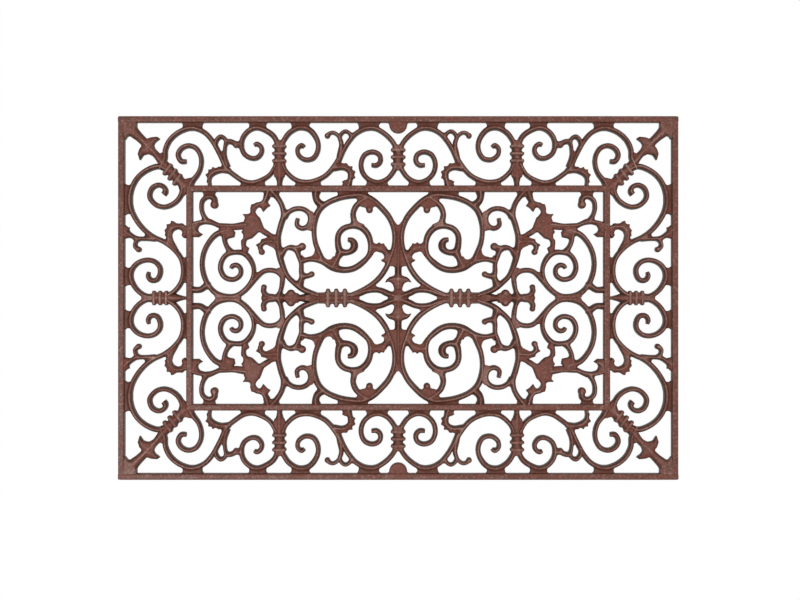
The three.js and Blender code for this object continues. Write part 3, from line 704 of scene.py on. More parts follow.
class DOORMAT_OT_hook_scrolls(bpy.types.Operator):
    """Models the arcs from the border collars towards the middle, with hooks and leaves"""

    bl_idname = "door_mat.hook_scrolls"
    bl_label = "Hook scrolls"

    def execute(self, context):
        m = Member(context)
        m.bar([(121, 141, 5), (117.3, 132.5, 5.3), (106.7, 123.2), (95, 121), (84.8, 123.2),
               (75, 128.6), (66.6, 138.4), (60.7, 149), (59.5, 161, 5.4), (62.2, 169.3, 4.8),
               (67.8, 173, 4.6), (73, 171.8, 4.4)])
        m.ball(74, 169.5, 3)
        m.pad([(57.2, 164), (56.4, 156), (60, 146), (66, 138), (64, 150), (61.6, 160)])
        m.bar([(67, 135.5, 7), (58.5, 136.4, 6.4), (52, 134, 6.6), (49.4, 129, 6.4),
               (50.4, 122.5, 5.8), (53, 114, 9)])
        m.leaf([(63, 136.5), (60, 141.4), (57, 140.6), (53.8, 140.6), (51.2, 137.8), (47.8, 137.4),
                (47.8, 134.2), (44.8, 132), (45.8, 128.8), (45, 125.6), (49, 122.8), (51.4, 118),
                (53, 121), (53, 131)])
        m.leaf([(52, 123), (56, 122.8), (58.8, 121), (57, 119.4), (58.8, 117.6), (52, 115)])
        m.web("inner_long", 82, 106)
        m.cast("hook_scroll", "", "scroll_iron")
        return {"FINISHED"}


class DOORMAT_OT_twin_curls(bpy.types.Operator):
    """Models the border collars with their tapered feet, their two curls, the loops and the buds"""

    bl_idname = "door_mat.twin_curls"
    bl_label = "Twin curls"

    def execute(self, context):
        m = Member(context)
        m.bar([(124, 164.6, 5), (124, 158, 10.2), (124, 142, 10.2), (124, 138, 8.4), (124, 133.5, 8.4),
               (124, 129.5, 9.4), (124, 125, 8.4), (124, 119.5, 6), (124, 113.5, 8)],
              drop=COLLAR_DROP, broad=True)
        for step in range(3):
            m.ring(124, 158.3 - 7.6 * step, 15.2, 0)
        m.pad([(118.2, 143), (129.8, 143), (131.2, 134), (129.4, 126.2), (118.6, 126.2), (116.8, 134)])
        m.bar([(150.7, 159.7, 4.4), (147.4, 161.1, 5.6), (143.3, 157.9, 5.4), (142.7, 152.6, 5.5),
               (147, 146.9), (153.3, 146.1, 5.7), (160.9, 150.7), (163.8, 158.8), (162, 168.2),
               (155.3, 175.6), (147.5, 178), (138.4, 175.3, 6.3), (129.9, 168.9, 6.3), (125, 158)])
        m.bar([(97.8, 157.5, 4.8), (100.8, 160, 5), (105, 156.2, 5.2), (104.3, 149.7, 5.4),
               (97.2, 144.6), (89, 146), (84.4, 153), (83.8, 162), (88.2, 171.5, 6.4),
               (94.6, 177, 6.4), (104.4, 177.8), (113.9, 172.6, 6.1), (119.8, 164.3), (123, 157)])
        m.bar([(190.8, 156), (190.2, 164.2, 5.2), (185.2, 169, 5), (180.3, 165), (181.1, 156, 4.4),
               (181.2, 148, 4.9), (178.2, 136.5, 7)], width=4.8)
        m.pad([(184, 153.6), (187.4, 149), (181, 137), (177, 134), (178.6, 148)])
        m.bar([(180.8, 163.8, 5), (175, 163.6, 6.1), (170, 161.6, 6), (162.5, 160.4, 6)])
        m.ball(169.6, 159.6, 3)
        m.web("outer_long", 139, 154.5)
        m.web("outer_long", 94, 110.5)
        m.cast("twin_curl", "", "collar_iron")
        return {"FINISHED"}


class DOORMAT_OT_middle_scrolls(bpy.types.Operator):
    """Models the collars at the middle of the long borders, with their arches and curls"""

    bl_idname = "door_mat.middle_scrolls"
    bl_label = "Middle scrolls"

    def execute(self, context):
        m = Member(context)
        m.bar([(0, 160, 6), (0, 156, 9.6), (0, 138, 9.8), (0, 133.5, 5)], drop=COLLAR_DROP, broad=True)
        for step in range(3):
            m.ring(0, 154.5 - 7.5 * step, 15.8, 0)
        m.bar([(63.4, 140.5, 6.6), (57, 154.6), (51.1, 164.2), (44.4, 171.8), (34.8, 176.9),
               (24, 177.3), (13, 171), (4.7, 161.8), (1, 152)])
        m.bar([(61.4, 164.5), (59.8, 171.3), (55.3, 174.4), (51, 172.4), (48, 166.5)], width=4.6)
        m.bar([(1, 142), (4.2, 133.4), (11.4, 124.5), (21, 120.8), (30.5, 123.7), (37, 130.9),
               (38.8, 140.8), (34.9, 149.8), (26.6, 152.8), (19.7, 149.6), (18.6, 142.8),
               (22.6, 138.7), (28.1, 139, 5)])
        m.web("outer_long", 21, 40.6)
        m.web("inner_long", 12, 32)
        m.cast("middle_scroll", "x", "collar_iron")
        return {"FINISHED"}


class DOORMAT_OT_end_scrolls(bpy.types.Operator):
    """Models the collars at the middle of the end borders, with spearheads and curls"""

    bl_idname = "door_mat.end_scrolls"
    bl_label = "End scrolls"

    def execute(self, context):
        m = Member(context)
        m.bar([(268, 0, 5), (262, 0, 9), (240, 0, 9.8), (234, 0, 10.4), (228, 0, 6.6), (219.5, 0, 2.4)],
              drop=END_COLLAR_DROP, broad=True)
        for step in range(3):
            m.ring(254.8 - 6.45 * step, 0, 15.6, 90)
        m.bar([(260.4, 27.4, 3.8), (261.5, 23.2, 5.2), (258.6, 18.6), (252.6, 18.9), (248.9, 25),
               (249.3, 32.2), (254.9, 38), (263.4, 39.6), (272.6, 36.3), (278.6, 29), (279.2, 20),
               (274.3, 10), (265.6, 2.9), (254, 0.5)])
        m.web("outer_end", 14.3, 30.6)
        m.cast("end_scroll", "y", "collar_iron")
        return {"FINISHED"}


class DOORMAT_OT_side_scrolls(bpy.types.Operator):
    """Models the wide arcs down the end borders, with their twigs, hooks and leaves"""

    bl_idname = "door_mat.side_scrolls"
    bl_label = "Side scrolls"

    def execute(self, context):
        m = Member(context)
        m.bar([(240.5, 133.5, 7), (250.2, 137.5, 6.5), (260.2, 134.8, 6.2), (270, 128.1),
               (276.7, 118.8), (280.2, 106), (279, 92.4), (273.2, 80.4), (264.3, 69.9), (255.2, 63.4),
               (245.2, 58.8), (234.6, 50.9), (226.9, 41), (224.4, 29.4), (226.4, 17.2), (233.4, 7.4),
               (243, 1.5)])
        m.leaf([(289, 79), (284.8, 76), (282.4, 74), (280.6, 73.8), (281, 71.5), (279.8, 67.6),
                (276, 64.4), (281, 62.8), (285, 61.8), (289, 60)])
        m.bar([(286, 70.5, 7), (281, 66.5, 5.8), (274.4, 62.5, 5.6), (264, 61.8, 5), (254, 61.4, 6)])
        m.bar([(269, 62.4, 5), (274, 58.8, 4.6), (275, 54, 5), (272.8, 50.8, 4.8)])
        m.ball(271.2, 50.6, 3.1)
        m.leaf([(215, 76.5), (222, 75.6), (225.4, 77.8), (229, 77.8), (232.2, 78.4), (234.6, 80),
                (237, 80.2), (238, 77.4), (241.8, 76.8), (241.6, 73.8), (243.8, 70.6), (243.2, 68),
                (243.6, 65.2), (241.2, 62.6), (242.6, 58), (235.4, 52), (229.8, 50.5), (234.8, 60),
                (236, 65.5), (234.3, 69.3), (230.6, 71.2), (226.8, 70.4), (224, 67), (215, 67)])
        m.bar([(215, 71.5, 4.4), (226, 74.4, 4.4), (234, 73.8, 5), (239, 69, 5), (239.6, 58, 6)])
        m.leaf([(215, 69), (223.4, 69.4), (225.8, 66), (224.8, 63.4), (222.6, 62.2), (221, 64),
                (215, 63)])
        m.web("outer_end", 88.6, 117)
        m.web("inner_end", 17.5, 41)
        m.cast("side_scroll", "", "scroll_iron")
        return {"FINISHED"}


class DOORMAT_OT_vines(bpy.types.Operator):
    """Models the vines that enter the panel from the end rails, with their ball-ended hooks"""

    bl_idname = "door_mat.vines"
    bl_label = "Vines"

    def execute(self, context):
        m = Member(context)
        m.leaf([(220, 79), (213, 77.6), (211.2, 78.7), (207.8, 79.3), (202.5, 82.4), (196, 82.4),
                (186.5, 78.5), (172, 78), (156, 80.6), (156, 72.2), (170, 71.1), (186.5, 72.4),
                (193.2, 75.4), (199, 76.8), (203, 76.5), (207.2, 75), (208.8, 71.6), (207.6, 68.6),
                (204.2, 66.6), (208.5, 63.5), (220, 64.2)])
        m.bar([(219, 75.5, 5), (207, 79, 5), (196, 78.8, 5.4), (186, 75.6, 5.4), (172, 75.4, 5.4),
               (157, 77, 5.4)])
        m.bar([(214, 74.5, 4.6), (211.6, 69.6, 4.4), (206.4, 66.4, 2.4)])
        m.bar([(199, 79, 7), (203.7, 86.5, 5.4), (205.6, 94, 5.2), (204.2, 101.8, 5.4), (198, 105.8),
               (192.5, 104, 6.8), (191.2, 99, 6)])
        m.ball(191.9, 97.3, 4.3)
        m.web("under_inner_long", 192.6, 202.3)
        m.cast("vine", "", "scroll_iron")
        return {"FINISHED"}


class DOORMAT_OT_ring_scrolls(bpy.types.Operator):
    """Models the rings with a curl inside, and the knots that hang them from the vines"""

    bl_idname = "door_mat.ring_scrolls"
    bl_label = "Ring scrolls"

    def execute(self, context):
        m = Member(context)
        m.leaf([(171, 77), (171.8, 71), (170.4, 68.4), (171.4, 63.6), (176, 62.3), (179, 62),
                (181.6, 65.6), (187.4, 69.6), (185.4, 77)])
        m.bar([(176.5, 71, 6), (189.7, 66.7, 6.4), (197.4, 58.8), (203, 47.8, 5.7), (204.9, 35.3, 5.6),
               (202.8, 22.8, 6), (197.5, 12), (190, 4.7, 6.4), (179.4, 1.8), (169.4, 2.5),
               (159.2, 9.5, 5.7), (152.2, 19.9, 5.5), (151, 31, 5.3), (155.4, 41.2, 6.4),
               (162, 47, 6.6), (171, 47.7), (179.2, 45.4), (184.8, 37.8, 5.7), (185.5, 29, 5.9),
               (180.9, 21.4, 6), (172, 19.4, 5.8), (165.3, 23.8, 5.6), (164.7, 30.4, 5.4),
               (168.6, 34.3, 5.6), (172.8, 33.8, 5.4), (175, 30.8, 4.6)])
        m.bar([(182.2, 66, 5.6), (181.1, 58.8, 5.5), (178.6, 52.8, 5.8), (173.6, 46.4, 8.6)])
        m.bar([(220.4, 9.8, 10), (214, 8.6, 7.6), (206.8, 8.7, 7), (200.8, 12.4, 7.4), (195.5, 13, 7)])
        m.pad([(163.5, -0.6), (165.6, 3.6), (172, 3), (186, 3), (189, 4), (192, 2), (190, -0.6)],
              drop=JOINT_PAD_DROP)
        m.cast("ring_scroll", "", "scroll_iron")
        return {"FINISHED"}


class DOORMAT_OT_axis_clasps(bpy.types.Operator):
    """Models the fluted clasps on the long middle line, with stems, knobs and hooked arches"""

    bl_idname = "door_mat.axis_clasps"
    bl_label = "Axis clasps"

    def execute(self, context):
        m = Member(context)
        m.bar([(143, 0, 5), (130, 0, 5.6), (118, 0, 6), (104, 0, 6.8), (97.6, 0, 9.4), (90, 0, 11.5),
               (76, 0, 12.4), (50, 0, 11.6), (41, 0, 8.6)], drop=CLASP_DROP, broad=True)
        for reach in (0.0, 4.2):
            m.bar([(97, reach * 0.5, 1.8), (86, reach, 2.2), (64, reach, 2.2), (46, reach * 0.9, 1.8)],
                  drop=FLUTE_DROP)
        m.leaf([(104.2, -1), (104.6, 4.6), (108.4, 5.4), (115.6, 5.4), (117.8, 4.2), (118.8, -1)])
        m.ball(112, 4.6, 4.4, rise=0.2)
        for x in (73.2, 64.6, 55.6):
            m.ring(x, 0, 20, 90, width=CLASP_RING_WIDTH)
        m.bar([(166, 2.5, 4.6), (158.8, 9), (152.6, 16), (147, 22.4), (140.9, 27.7), (133, 29),
               (126.1, 27), (121.3, 21.6), (121.4, 15, 5.8), (122.9, 7.6, 5.4), (126.2, -1, 9.2)])
        m.pad([(148, 27.5), (151.5, 24), (153, 17), (149, 19), (143, 25)])
        m.bar([(124, -1, 6), (131, 1.4, 6.2), (137, 2.6, 5.6), (140.7, 6.6, 6.2), (140.5, 11, 5.8)])
        m.ball(140.2, 11.4, 3)
        m.pad([(119, 17), (117.6, 24), (121.6, 32.5), (126.6, 31), (127, 28.4), (122, 22)],
              drop=JOINT_PAD_DROP)
        m.cast("axis_clasp", "y", "collar_iron")
        return {"FINISHED"}


class DOORMAT_OT_centre_scrolls(bpy.types.Operator):
    """Models the large scrolls beside the middle, with the curls and leaf bridges inside them"""

    bl_idname = "door_mat.centre_scrolls"
    bl_label = "Centre scrolls"

    def execute(self, context):
        m = Member(context)
        m.bar([(79, 38.5, 7), (82.7, 47, 6.4), (86.7, 58), (88.1, 70), (87, 82, 7.2), (82.8, 91.6, 7),
               (75, 98.6, 6.4), (63, 104, 6.6), (50, 106.6, 6.6), (36.6, 106.8, 7), (26.9, 102.4, 7),
               (17.3, 93.9, 6.8), (9.1, 83.8, 6.6), (4.3, 71.4, 6.2), (3.9, 57), (7.6, 43.5),
               (13.6, 29.7, 6.2), (22, 18.7, 6.2), (33.6, 10.4, 5.6), (49, 3.4, 5.2), (60, 0.4)])
        m.bar([(85, 115, 12.4), (86.2, 106, 8), (84.4, 101, 8), (77.6, 95.4, 9.6)])
        m.bar([(103, 38, 7), (92, 40.2, 5.2), (80, 38.4, 6.8), (68, 32, 8.4), (57, 29.3, 7.2),
               (47, 30.8, 7), (38.2, 36.3, 6.8), (30.8, 44.4), (28.8, 55.5, 6.2), (31.6, 66.3, 7),
               (38.6, 73.5, 7.2), (48, 75.2, 6.4), (57.4, 72.5, 6.6), (62.4, 66.2, 6.6), (63, 57, 7),
               (60.2, 48.6, 8), (51.4, 48, 6.6), (46.4, 52, 8.2), (46, 56.3, 8.4), (48.2, 60.4, 6),
               (52.8, 60.9, 5.4)])
        m.bar([(60, 49, 6), (63, 42, 6), (67.5, 34, 10)])
        m.leaf([(61, 46), (58.8, 42.6), (60.8, 40.6), (61.8, 36.8), (64, 33), (70, 34), (68.6, 40.5),
                (68.4, 43), (66, 43.4), (65.4, 47)])
        m.bar([(46, 74.5, 7), (46.2, 80.6, 7), (47.2, 87.6, 6.4), (44.7, 95, 6.6), (39.5, 100.5, 5.8),
               (31, 105, 6)])
        m.pad([(42, 107), (43.2, 98.8), (38, 94.8), (35, 94.6), (33.2, 93), (26.8, 93.4), (24.9, 96.2),
               (20.8, 94.4), (23, 101), (30, 107)])
        m.ball(30, 92, 3.7)
        m.bar([(29.5, 52.3, 8.4), (21, 52.9, 7.8), (14.6, 49.6, 7.6), (8.4, 41, 8.4)],
              broad=True, drop=BRIDGE_DROP)
        m.leaf([(27.5, 51), (25.8, 57.6), (22.6, 56.4), (20, 58), (17.6, 56.6), (15, 57), (13.8, 54.6),
                (12.2, 52.6), (13, 48), (19, 47.6)])
        m.leaf([(16, 49), (14.8, 44.4), (15.4, 41), (18, 39.8), (16, 37.6), (14.6, 38.4), (13.4, 35.2),
                (9.6, 36), (5, 45)])
        m.web("under_inner_long", 34, 61.5)
        m.pad([(84, 52), (87.2, 49.4), (88, 46), (90, 44), (97.6, 42), (100.8, 45.6), (101, 39.5),
               (81, 39)])
        m.pad([(77.5, 43), (74, 40.2), (70.6, 40.3), (68, 42.6), (66, 36), (76, 36)])
        m.pad([(47, 86), (43.6, 82), (41, 79), (35, 76.5), (46, 73)], drop=STEM_PAD_DROP)
        m.pad([(31.5, 40), (28.6, 41.8), (26.2, 45.2), (24.6, 48), (21, 48.8), (24, 53), (31, 50)])
        m.cast("centre_scroll", "", "scroll_iron")
        return {"FINISHED"}


class DOORMAT_OT_heart_bars(bpy.types.Operator):
    """Models the long heart-shaped bars, with their hooks, curls and branched stems"""

    bl_idname = "door_mat.heart_bars"
    bl_label = "Heart bars"

    def execute(self, context):
        m = Member(context)
        m.bar([(133.5, 113, 9), (126, 104.4, 6.4), (121.4, 96, 6), (119.8, 86, 6.6), (122.7, 76, 6.6),
               (125.4, 64, 6.4), (124.9, 50, 7.6), (121.5, 35.6, 6.8), (115.8, 23), (108.5, 15.6, 6.2),
               (99, 8.6, 6.6), (82, 2)])
        m.pad([(127, 66), (136.6, 63.6), (142, 60.6), (140, 56.6), (130.4, 52.2), (127, 48)])
        m.bar([(124, 57.5, 6), (131, 58.7, 6.2), (138, 58.8, 5.8), (143.6, 55.4, 5.6),
               (144.3, 50.3, 5.6)])
        m.leaf([(137, 58.5), (140.2, 61.8), (143.2, 60.8), (143.5, 58.4), (148.6, 55.4), (146, 53),
                (143.6, 52)])
        m.ball(142.5, 48, 3.3)
        m.bar([(119, 84.5, 8), (115, 89.2, 5.8), (108.7, 92.8), (100, 93), (93.5, 88.7, 6),
               (91.9, 81.5, 5.6), (94.6, 75, 5.8), (100.4, 72.7, 5.8), (105.8, 76, 5.4),
               (105, 83.4, 4.8)])
        m.bar([(122, 45.4, 7.4), (117, 51.6, 5.2), (111, 52.5, 6.8), (106.6, 49.8, 6.4),
               (103.6, 43, 5.9), (101.4, 36, 5.4), (101.3, 28, 5.8), (100.8, 21.5, 6.2),
               (104, 11.5, 10)])
        m.leaf([(101.8, 25), (103.4, 20.6), (105, 17.6), (109, 14.6), (101, 11), (101.8, 15.4),
                (99, 17.6), (98, 20), (97.4, 24)])
        m.bar([(109, 52.4, 4.8), (101, 53.5, 5)])
        m.ball(100.3, 53.6, 4.1)
        m.bar([(102.5, 23.8, 7.2), (97, 22.8, 6.4), (91, 24, 5.6)])
        m.ball(90.4, 24.8, 3.2)
        m.web("under_inner_long", 126, 139)
        m.pad([(93.6, 92), (89, 90), (86, 84), (86.6, 76), (90, 69.6), (96, 71), (92, 80)],
              drop=STEM_PAD_DROP)
        m.cast("heart_bar", "", "scroll_iron")
        return {"FINISHED"}


class DOORMAT_OT_leaf_clusters(bpy.types.Operator):
    """Models the clusters of leaves in the middle of the vines, with their twigs to the rails"""

    bl_idname = "door_mat.leaf_clusters"
    bl_label = "Leaf clusters"

    def execute(self, context):
        m = Member(context)
        vein = m.sizes.leaf_drop / 2
        m.leaf([(161.2, 80.3), (160.2, 84), (162.4, 87.4), (157.6, 87.7), (154.5, 88.8), (154.4, 93.1),
                (153, 97.4), (148, 98.5), (142.4, 98.9), (141, 96), (146.4, 94.8), (149.8, 90.7),
                (146.6, 85.9), (144.4, 83.5), (142, 77.8), (139.8, 73.2), (134.4, 69.2), (130, 66.4),
                (124, 67), (124, 59), (130, 59.5), (136, 64.9), (140.6, 68.7), (145, 69.2),
                (149.7, 65), (153.1, 62.2), (158.8, 60), (159.6, 55.2), (155.8, 52), (158.4, 45),
                (162.8, 45), (164, 56.4), (163.8, 60.2), (162.2, 62), (162, 65.8), (163.6, 68.8),
                (162.4, 71.2)])
        m.leaf([(149, 98.9), (140, 101.4), (136.4, 99.6), (133.6, 96.3), (137, 93.9), (141, 90),
                (143.7, 93.8), (147, 95)])
        m.bar([(148.4, 97.3, 5.6), (143, 98, 5.4), (139.4, 101.4, 6), (137.3, 105.8, 8),
               (135.6, 113, 9)])
        m.bar([(160, 77, 4.8), (152, 75, 5), (145.4, 71.6, 4.8), (137, 66.4, 5), (124, 62.5, 6)],
              drop=vein)
        m.bar([(151, 75, 3.8), (152.4, 84, 3.8), (151.4, 91, 4.4), (147, 97, 4.4)], drop=vein)
        m.bar([(150, 73, 3.8), (156, 67, 3.8), (160.8, 58, 4), (160, 46, 5)], drop=vein)
        m.bar([(153, 78, 3), (157, 83, 2.6), (160.4, 85.8, 1.6)], drop=vein)
        m.cast("leaf_cluster", "", "scroll_iron")
        return {"FINISHED"}


class DOORMAT_OT_centre_spear(bpy.types.Operator):
    """Models the spear across the middle, with its barbs, boss and almond loops"""

    bl_idname = "door_mat.centre_spear"
    bl_label = "Centre spear"

    def execute(self, context):
        m = Member(context)
        m.bar([(0, 72, 2.4), (0, 64, 4), (0, 50, 6), (0, 38, 7.4), (0, 28, 7.6), (0, -1, 7.6)],
              drop=SPEAR_DROP, broad=True)
        m.pad([(-1, 75.6), (1, 76.4), (5, 82), (6.6, 80), (4.6, 66), (5.6, 55), (8.6, 43), (11, 34.6),
               (8, 33), (3.6, 33), (-1, 33)])
        m.bar([(0, 69, 1.8), (0, 50, 2.6), (0, 34, 3), (0, 9, 3)], drop=SPEAR_RIDGE_DROP)
        m.leaf([(-1, 24), (3, 23.8), (9, 21.7), (12, 19.2), (13.6, 16.2), (9.5, 16.6), (6.1, 14.3),
                (3.7, 9), (-1, 9)])
        m.bar([(0, 20, 3.4), (5, 19.8, 3.4), (9, 19, 2.8), (12.4, 17, 1.6)])
        m.ball(0, 0, 6.2)
        m.leaf([(-1, 9), (4, 8), (8, 4), (9, -1), (-1, -1)], crown=0.6)
        m.bar([(50, 2), (42, 4.4, 7.2), (33, 7.6, 6.6), (25, 8.6, 6.6), (18, 7.8, 6.6), (12, 5.1, 7.2),
               (3, 2)])
        m.pad([(22.4, 12.6), (26, 16), (34, 12), (54, 2), (42, 4), (33, 7), (25, 8)])
        m.cast("centre_spear", "xy", "scroll_iron")
        return {"FINISHED"}


# Materials


class Value:
    """A shader socket in an expression. Arithmetic on it adds Math nodes."""

    def __init__(self, finish, socket):
        self.finish = finish
        self.socket = socket

    def math(self, operation, first, second=0.0, clamp=False):
        settings = {"operation": operation, "use_clamp": clamp}
        return self.finish.node("ShaderNodeMath", settings, {0: first, 1: second})

    def __add__(self, other):
        return self.math("ADD", self, other)

    def __sub__(self, other):
        return self.math("SUBTRACT", self, other)

    def __rsub__(self, other):
        return self.math("SUBTRACT", other, self)

    def __mul__(self, other):
        return self.math("MULTIPLY", self, other)

    def __truediv__(self, other):
        return self.math("DIVIDE", self, other)

    __radd__ = __add__
    __rmul__ = __mul__

    def clamped(self):
        return self.math("ADD", self, 0.0, clamp=True)

    def between(self, low, high):
        """0 at low, 1 at high, straight between them."""
        return ((self - low) / (high - low)).clamped()


class Finish:
    """A material in the making, with one method that adds any node."""

    def __init__(self, name):
        self.material = bpy.data.materials.new(name)
        self.material.use_nodes = True
        self.tree = self.material.node_tree
        self.shader = self.tree.nodes["Principled BSDF"]

    def node(self, kind, settings=None, sockets=None, output=0):
        node = self.tree.nodes.new(kind)
        for name, value in (settings or {}).items():
            setattr(node, name, value)
        for name, value in (sockets or {}).items():
            self.feed(node.inputs[name], value)
        return Value(self, node.outputs[output])

    def feed(self, socket, value):
        if isinstance(value, Value):
            self.tree.links.new(value.socket, socket)
        else:
            socket.default_value = value

    def mix(self, factor, first, second):
        """Colour mixed from first to second by factor."""
        settings = {"data_type": "RGBA"}
        return self.node("ShaderNodeMix", settings, {0: factor, 6: first, 7: second}, output=2)

    def noise(self, scale, detail=3.0, roughness=0.55):
        place = self.node("ShaderNodeTexCoord", output="Object")
        sockets = {"Vector": place, "Scale": scale, "Detail": detail, "Roughness": roughness}
        return self.node("ShaderNodeTexNoise", None, sockets)


# Heights over which the crests' rubbing and painted highlight set in, the rust of the hollows gives
# out, and the painted shade of the lowest iron gives out
CREST_HEIGHTS = (8.6 * MM, 9.8 * MM)
HOLLOW_HEIGHTS = (8.4 * MM, 9.6 * MM)
LOW_SHADE_HEIGHTS = (6.4 * MM, 8.2 * MM)


def cast_iron(name, colours, wear_and_highlight_share, side_shade_share):
    """Rust-brown iron, redder in its hollows.

    The crests are lightened by the first share, partly as rubbed iron and partly as a painted
    highlight.
    The sides are darkened by the second share, and the lowest iron as well: both are painted shade.
    The scales of the noises are in features per metre.
    """
    finish = Finish(name)
    body, worn_and_highlight, painted_shade_brown, rust, stain_and_shade = (
        (*getattr(colours, key), 1.0) for key in ("body", "worn_and_highlight", "painted_shade_brown", "rust", "stain_and_shade")
    )
    place = finish.node("ShaderNodeTexCoord", output="Object")
    height = finish.node("ShaderNodeSeparateXYZ", None, {0: place}, output="Z")
    normal = finish.node("ShaderNodeNewGeometry", output="Normal")
    facing = finish.node("ShaderNodeSeparateXYZ", None, {0: normal}, output="Z")
    cloud = finish.noise(38.0)
    blotch = finish.noise(190.0)
    speckle = finish.noise(430.0)
    spots = finish.noise(270.0, detail=4.0, roughness=0.65)
    sand = finish.noise(1500.0, detail=2.0)
    # Up-facing crests near the top are lightened: partly real rubbing, partly a painted highlight
    crest = facing.between(0.86, 0.99) * height.between(*CREST_HEIGHTS)
    # Steep sides that face away from the lamps above are darkened with painted shade
    side = 1 - facing.between(0.45, 0.95)
    hollow = (1 - height.between(*HOLLOW_HEIGHTS)) * facing.between(0.3, 0.8)
    base = finish.mix(blotch.between(0.44, 0.58) * 0.7, body, rust)
    base = finish.mix(speckle.between(0.52, 0.66) * 0.35, base, worn_and_highlight)
    base = finish.mix(hollow * 0.7, base, rust)
    base = finish.mix(spots.between(0.5, 0.62) * 0.5, base, stain_and_shade)
    # Crest lightening, spotted by noise: partly real rubbing, partly a painted highlight
    wear_and_highlight = (crest * (0.1 + cloud.between(0.35, 0.65)) * (0.1 + 1.5 * speckle)).clamped()
    base = finish.mix(wear_and_highlight * wear_and_highlight_share, base, worn_and_highlight)
    # Painted shade on the lowest iron, darker towards the floor
    low_shade = 0.55 * (1 - height.between(*LOW_SHADE_HEIGHTS))
    # The painted shade colour, dark brown tinted olive in blotches, laid on the sides and the lowest
    # iron
    shade = finish.mix(blotch.between(0.44, 0.56), painted_shade_brown, stain_and_shade)
    base = finish.mix((side * side_shade_share + low_shade).clamped(), base, shade)
    finish.feed(finish.shader.inputs["Base Color"], base)
    finish.feed(finish.shader.inputs["Roughness"], 0.47 - 0.1 * wear_and_highlight + 0.25 * (blotch - 0.5))
    finish.shader.inputs["Metallic"].default_value = 0.0
    finish.shader.inputs["Specular IOR Level"].default_value = 0.22
    pits = finish.noise(520.0, detail=4.0, roughness=0.7)
    relief = 0.55 * sand + pits + 1.4 * blotch
    sockets = {"Strength": 0.55, "Distance": 0.28 * MM, "Height": relief}
    finish.feed(finish.shader.inputs["Normal"], finish.node("ShaderNodeBump", None, sockets))


class DOORMAT_OT_iron(bpy.types.Operator):
    """Makes the finishes of the rails, the scrolls and the collars"""

    bl_idname = "door_mat.iron"
    bl_label = "Iron finishes"

    def execute(self, context):
        colours = context.scene.door_mat_colours
        # Each finish's share of crest rubbing with painted highlight, then its share of painted shade
        # on the sides
        cast_iron("finish_rail_iron", colours, wear_and_highlight_share=0.08, side_shade_share=0.5)
        cast_iron("finish_scroll_iron", colours, wear_and_highlight_share=0.75, side_shade_share=0.8)
        cast_iron("finish_collar_iron", colours, wear_and_highlight_share=0.5, side_shade_share=0.8)
        return {"FINISHED"}


# Stage

# Side of the floor, and how far it lies below the mat
FLOOR_SIDE = 6.0
FLOOR_GAP = 0.1 * MM
# Share of the floor's white that is seen as it is, and the rest takes the mat's shadow
FLOOR_GLOW = 0.97
# Strength of the world's light on the mat
WORLD_LIGHT = 0.55
# Each lamp's place, diameter and watts
LAMPS = {
    "window": ((-0.66, -0.46, 2.2), 0.7, 26),
    "fill": ((1.7, 1.2, 1.7), 1.2, 20),
}
# The camera looks straight down, as the photograph's does, on a strip of the mat's top this wide
CAMERA_ABOVE = 1.45
CAMERA_WIDE = 0.8336
CAMERA_OFFSET = (1.9 * MM, -2.1 * MM)


class DOORMAT_OT_stage(bpy.types.Operator):
    """Sets the pale floor, the lamps, the world and the camera that looks straight down"""

    bl_idname = "door_mat.stage"
    bl_label = "Stage"

    def execute(self, context):
        pale_floor(context)
        add_lamps(context)
        white_world(context)
        add_camera(context)
        context.scene.view_settings.view_transform = "Standard"
        return {"FINISHED"}


def seen_directly(finish):
    """1 for what the camera, a gloss or a pane sees, and 0 for light that only bounces."""
    path = [finish.node("ShaderNodeLightPath", output=output)
            for output in ("Is Camera Ray", "Is Glossy Ray", "Is Transmission Ray")]
    return (path[0] + path[1] + path[2]).clamped()


def pale_floor(context):
    """A floor that shows white, bounces its own pale colour and takes a little shadow."""
    deselect_all()
    bpy.ops.mesh.primitive_plane_add(size=FLOOR_SIDE, location=(0, 0, FLOOR_Z - FLOOR_GAP))
    floor = context.object
    floor.name = "floor"
    apply_place()
    finish = Finish("pale_floor")
    tree = finish.tree
    floor_colour = (*context.scene.door_mat_colours.floor, 1.0)
    finish.shader.inputs["Base Color"].default_value = floor_colour
    finish.shader.inputs["Roughness"].default_value = 0.9
    glow = tree.nodes.new("ShaderNodeEmission")
    glow.inputs["Color"].default_value = (1, 1, 1, 1)
    mixed = tree.nodes.new("ShaderNodeMixShader")
    finish.feed(mixed.inputs[0], seen_directly(finish) * FLOOR_GLOW)
    tree.links.new(finish.shader.outputs[0], mixed.inputs[1])
    tree.links.new(glow.outputs[0], mixed.inputs[2])
    tree.links.new(mixed.outputs[0], tree.nodes["Material Output"].inputs["Surface"])
    floor.data.materials.append(finish.material)


def add_lamps(context):
    """Hangs the round lamps and turns them to the middle of the mat."""
    for name, (place, diameter, watts) in LAMPS.items():
        lamp = bpy.data.lights.new(name, "AREA")
        lamp.shape = "DISK"
        lamp.size = diameter
        lamp.energy = watts
        obj = bpy.data.objects.new(name, lamp)
        obj.location = place
        obj.rotation_euler = (-Vector(place)).to_track_quat("-Z", "Y").to_euler()
        context.collection.objects.link(obj)


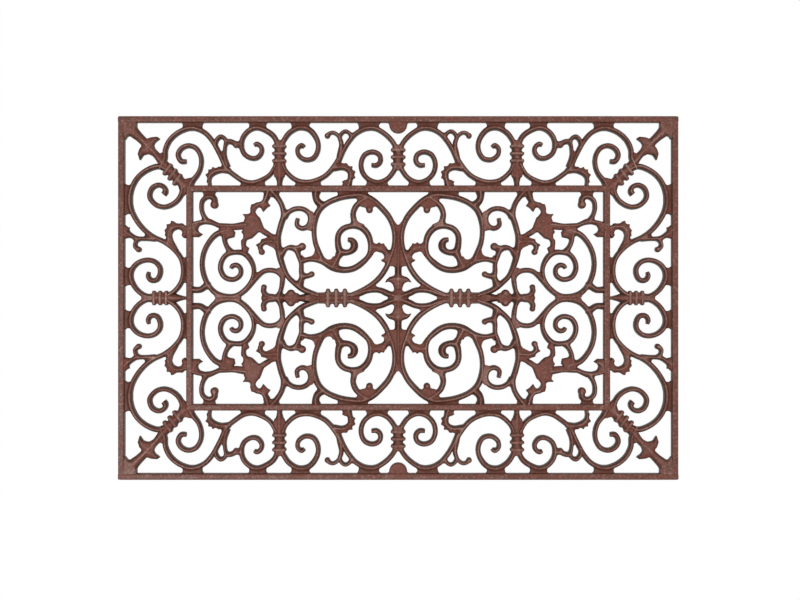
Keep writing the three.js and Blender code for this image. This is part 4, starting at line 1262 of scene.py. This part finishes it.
def white_world(context):
    """A world that shows white, and lights the mat more softly than that."""
    world = bpy.data.worlds.new("white")
    context.scene.world = world
    world.use_nodes = True
    tree = world.node_tree
    tree.nodes.clear()
    output = tree.nodes.new("ShaderNodeOutputWorld")
    background = tree.nodes.new("ShaderNodeBackground")
    path = tree.nodes.new("ShaderNodeLightPath")
    strength = tree.nodes.new("ShaderNodeMapRange")
    strength.inputs["To Min"].default_value = WORLD_LIGHT
    strength.inputs["To Max"].default_value = 1.0
    background.inputs["Color"].default_value = (1, 1, 1, 1)
    tree.links.new(path.outputs["Is Camera Ray"], strength.inputs["Value"])
    tree.links.new(strength.outputs["Result"], background.inputs["Strength"])
    tree.links.new(background.outputs[0], output.inputs["Surface"])


def add_camera(context):
    camera = bpy.data.cameras.new("camera")
    camera.sensor_width = 36
    camera.lens = camera.sensor_width * CAMERA_ABOVE / CAMERA_WIDE
    camera.clip_start = 0.01
    obj = bpy.data.objects.new("camera", camera)
    obj.location = (*CAMERA_OFFSET, TOP_Z + CAMERA_ABOVE)
    context.collection.objects.link(obj)
    context.scene.camera = obj


class DOORMAT_PT_panel(bpy.types.Panel):
    """Lists the steps, sizes and colours of the door mat"""

    bl_label = "Door mat"
    bl_idname = "DOORMAT_PT_panel"
    bl_space_type = "VIEW_3D"
    bl_region_type = "UI"
    bl_category = "Door mat"

    def draw(self, context):
        for settings in (context.scene.door_mat_sizes, context.scene.door_mat_colours):
            for name in settings.__annotations__:
                self.layout.prop(settings, name)
        for operator in STEPS:
            self.layout.operator(operator.bl_idname)


STEPS = (
    DOORMAT_OT_stage,
    DOORMAT_OT_iron,
    DOORMAT_OT_outer_frame,
    DOORMAT_OT_inner_frame,
    DOORMAT_OT_corner_spears,
    DOORMAT_OT_corner_scrolls,
    DOORMAT_OT_hook_scrolls,
    DOORMAT_OT_twin_curls,
    DOORMAT_OT_middle_scrolls,
    DOORMAT_OT_end_scrolls,
    DOORMAT_OT_side_scrolls,
    DOORMAT_OT_vines,
    DOORMAT_OT_ring_scrolls,
    DOORMAT_OT_axis_clasps,
    DOORMAT_OT_centre_scrolls,
    DOORMAT_OT_heart_bars,
    DOORMAT_OT_leaf_clusters,
    DOORMAT_OT_centre_spear,
)
CLASSES = (MatSizes, MatColours, *STEPS, DOORMAT_PT_panel)


def register():
    for cls in CLASSES:
        bpy.utils.register_class(cls)
    bpy.types.Scene.door_mat_sizes = PointerProperty(type=MatSizes)
    bpy.types.Scene.door_mat_colours = PointerProperty(type=MatColours)


def unregister():
    del bpy.types.Scene.door_mat_colours
    del bpy.types.Scene.door_mat_sizes
    for cls in reversed(CLASSES):
        bpy.utils.unregister_class(cls)


def main():
    register()
    deselect_all()
    for step in STEPS:
        group, name = step.bl_idname.split(".")
        getattr(getattr(bpy.ops, group), name)()


if __name__ == "__main__":
    main()
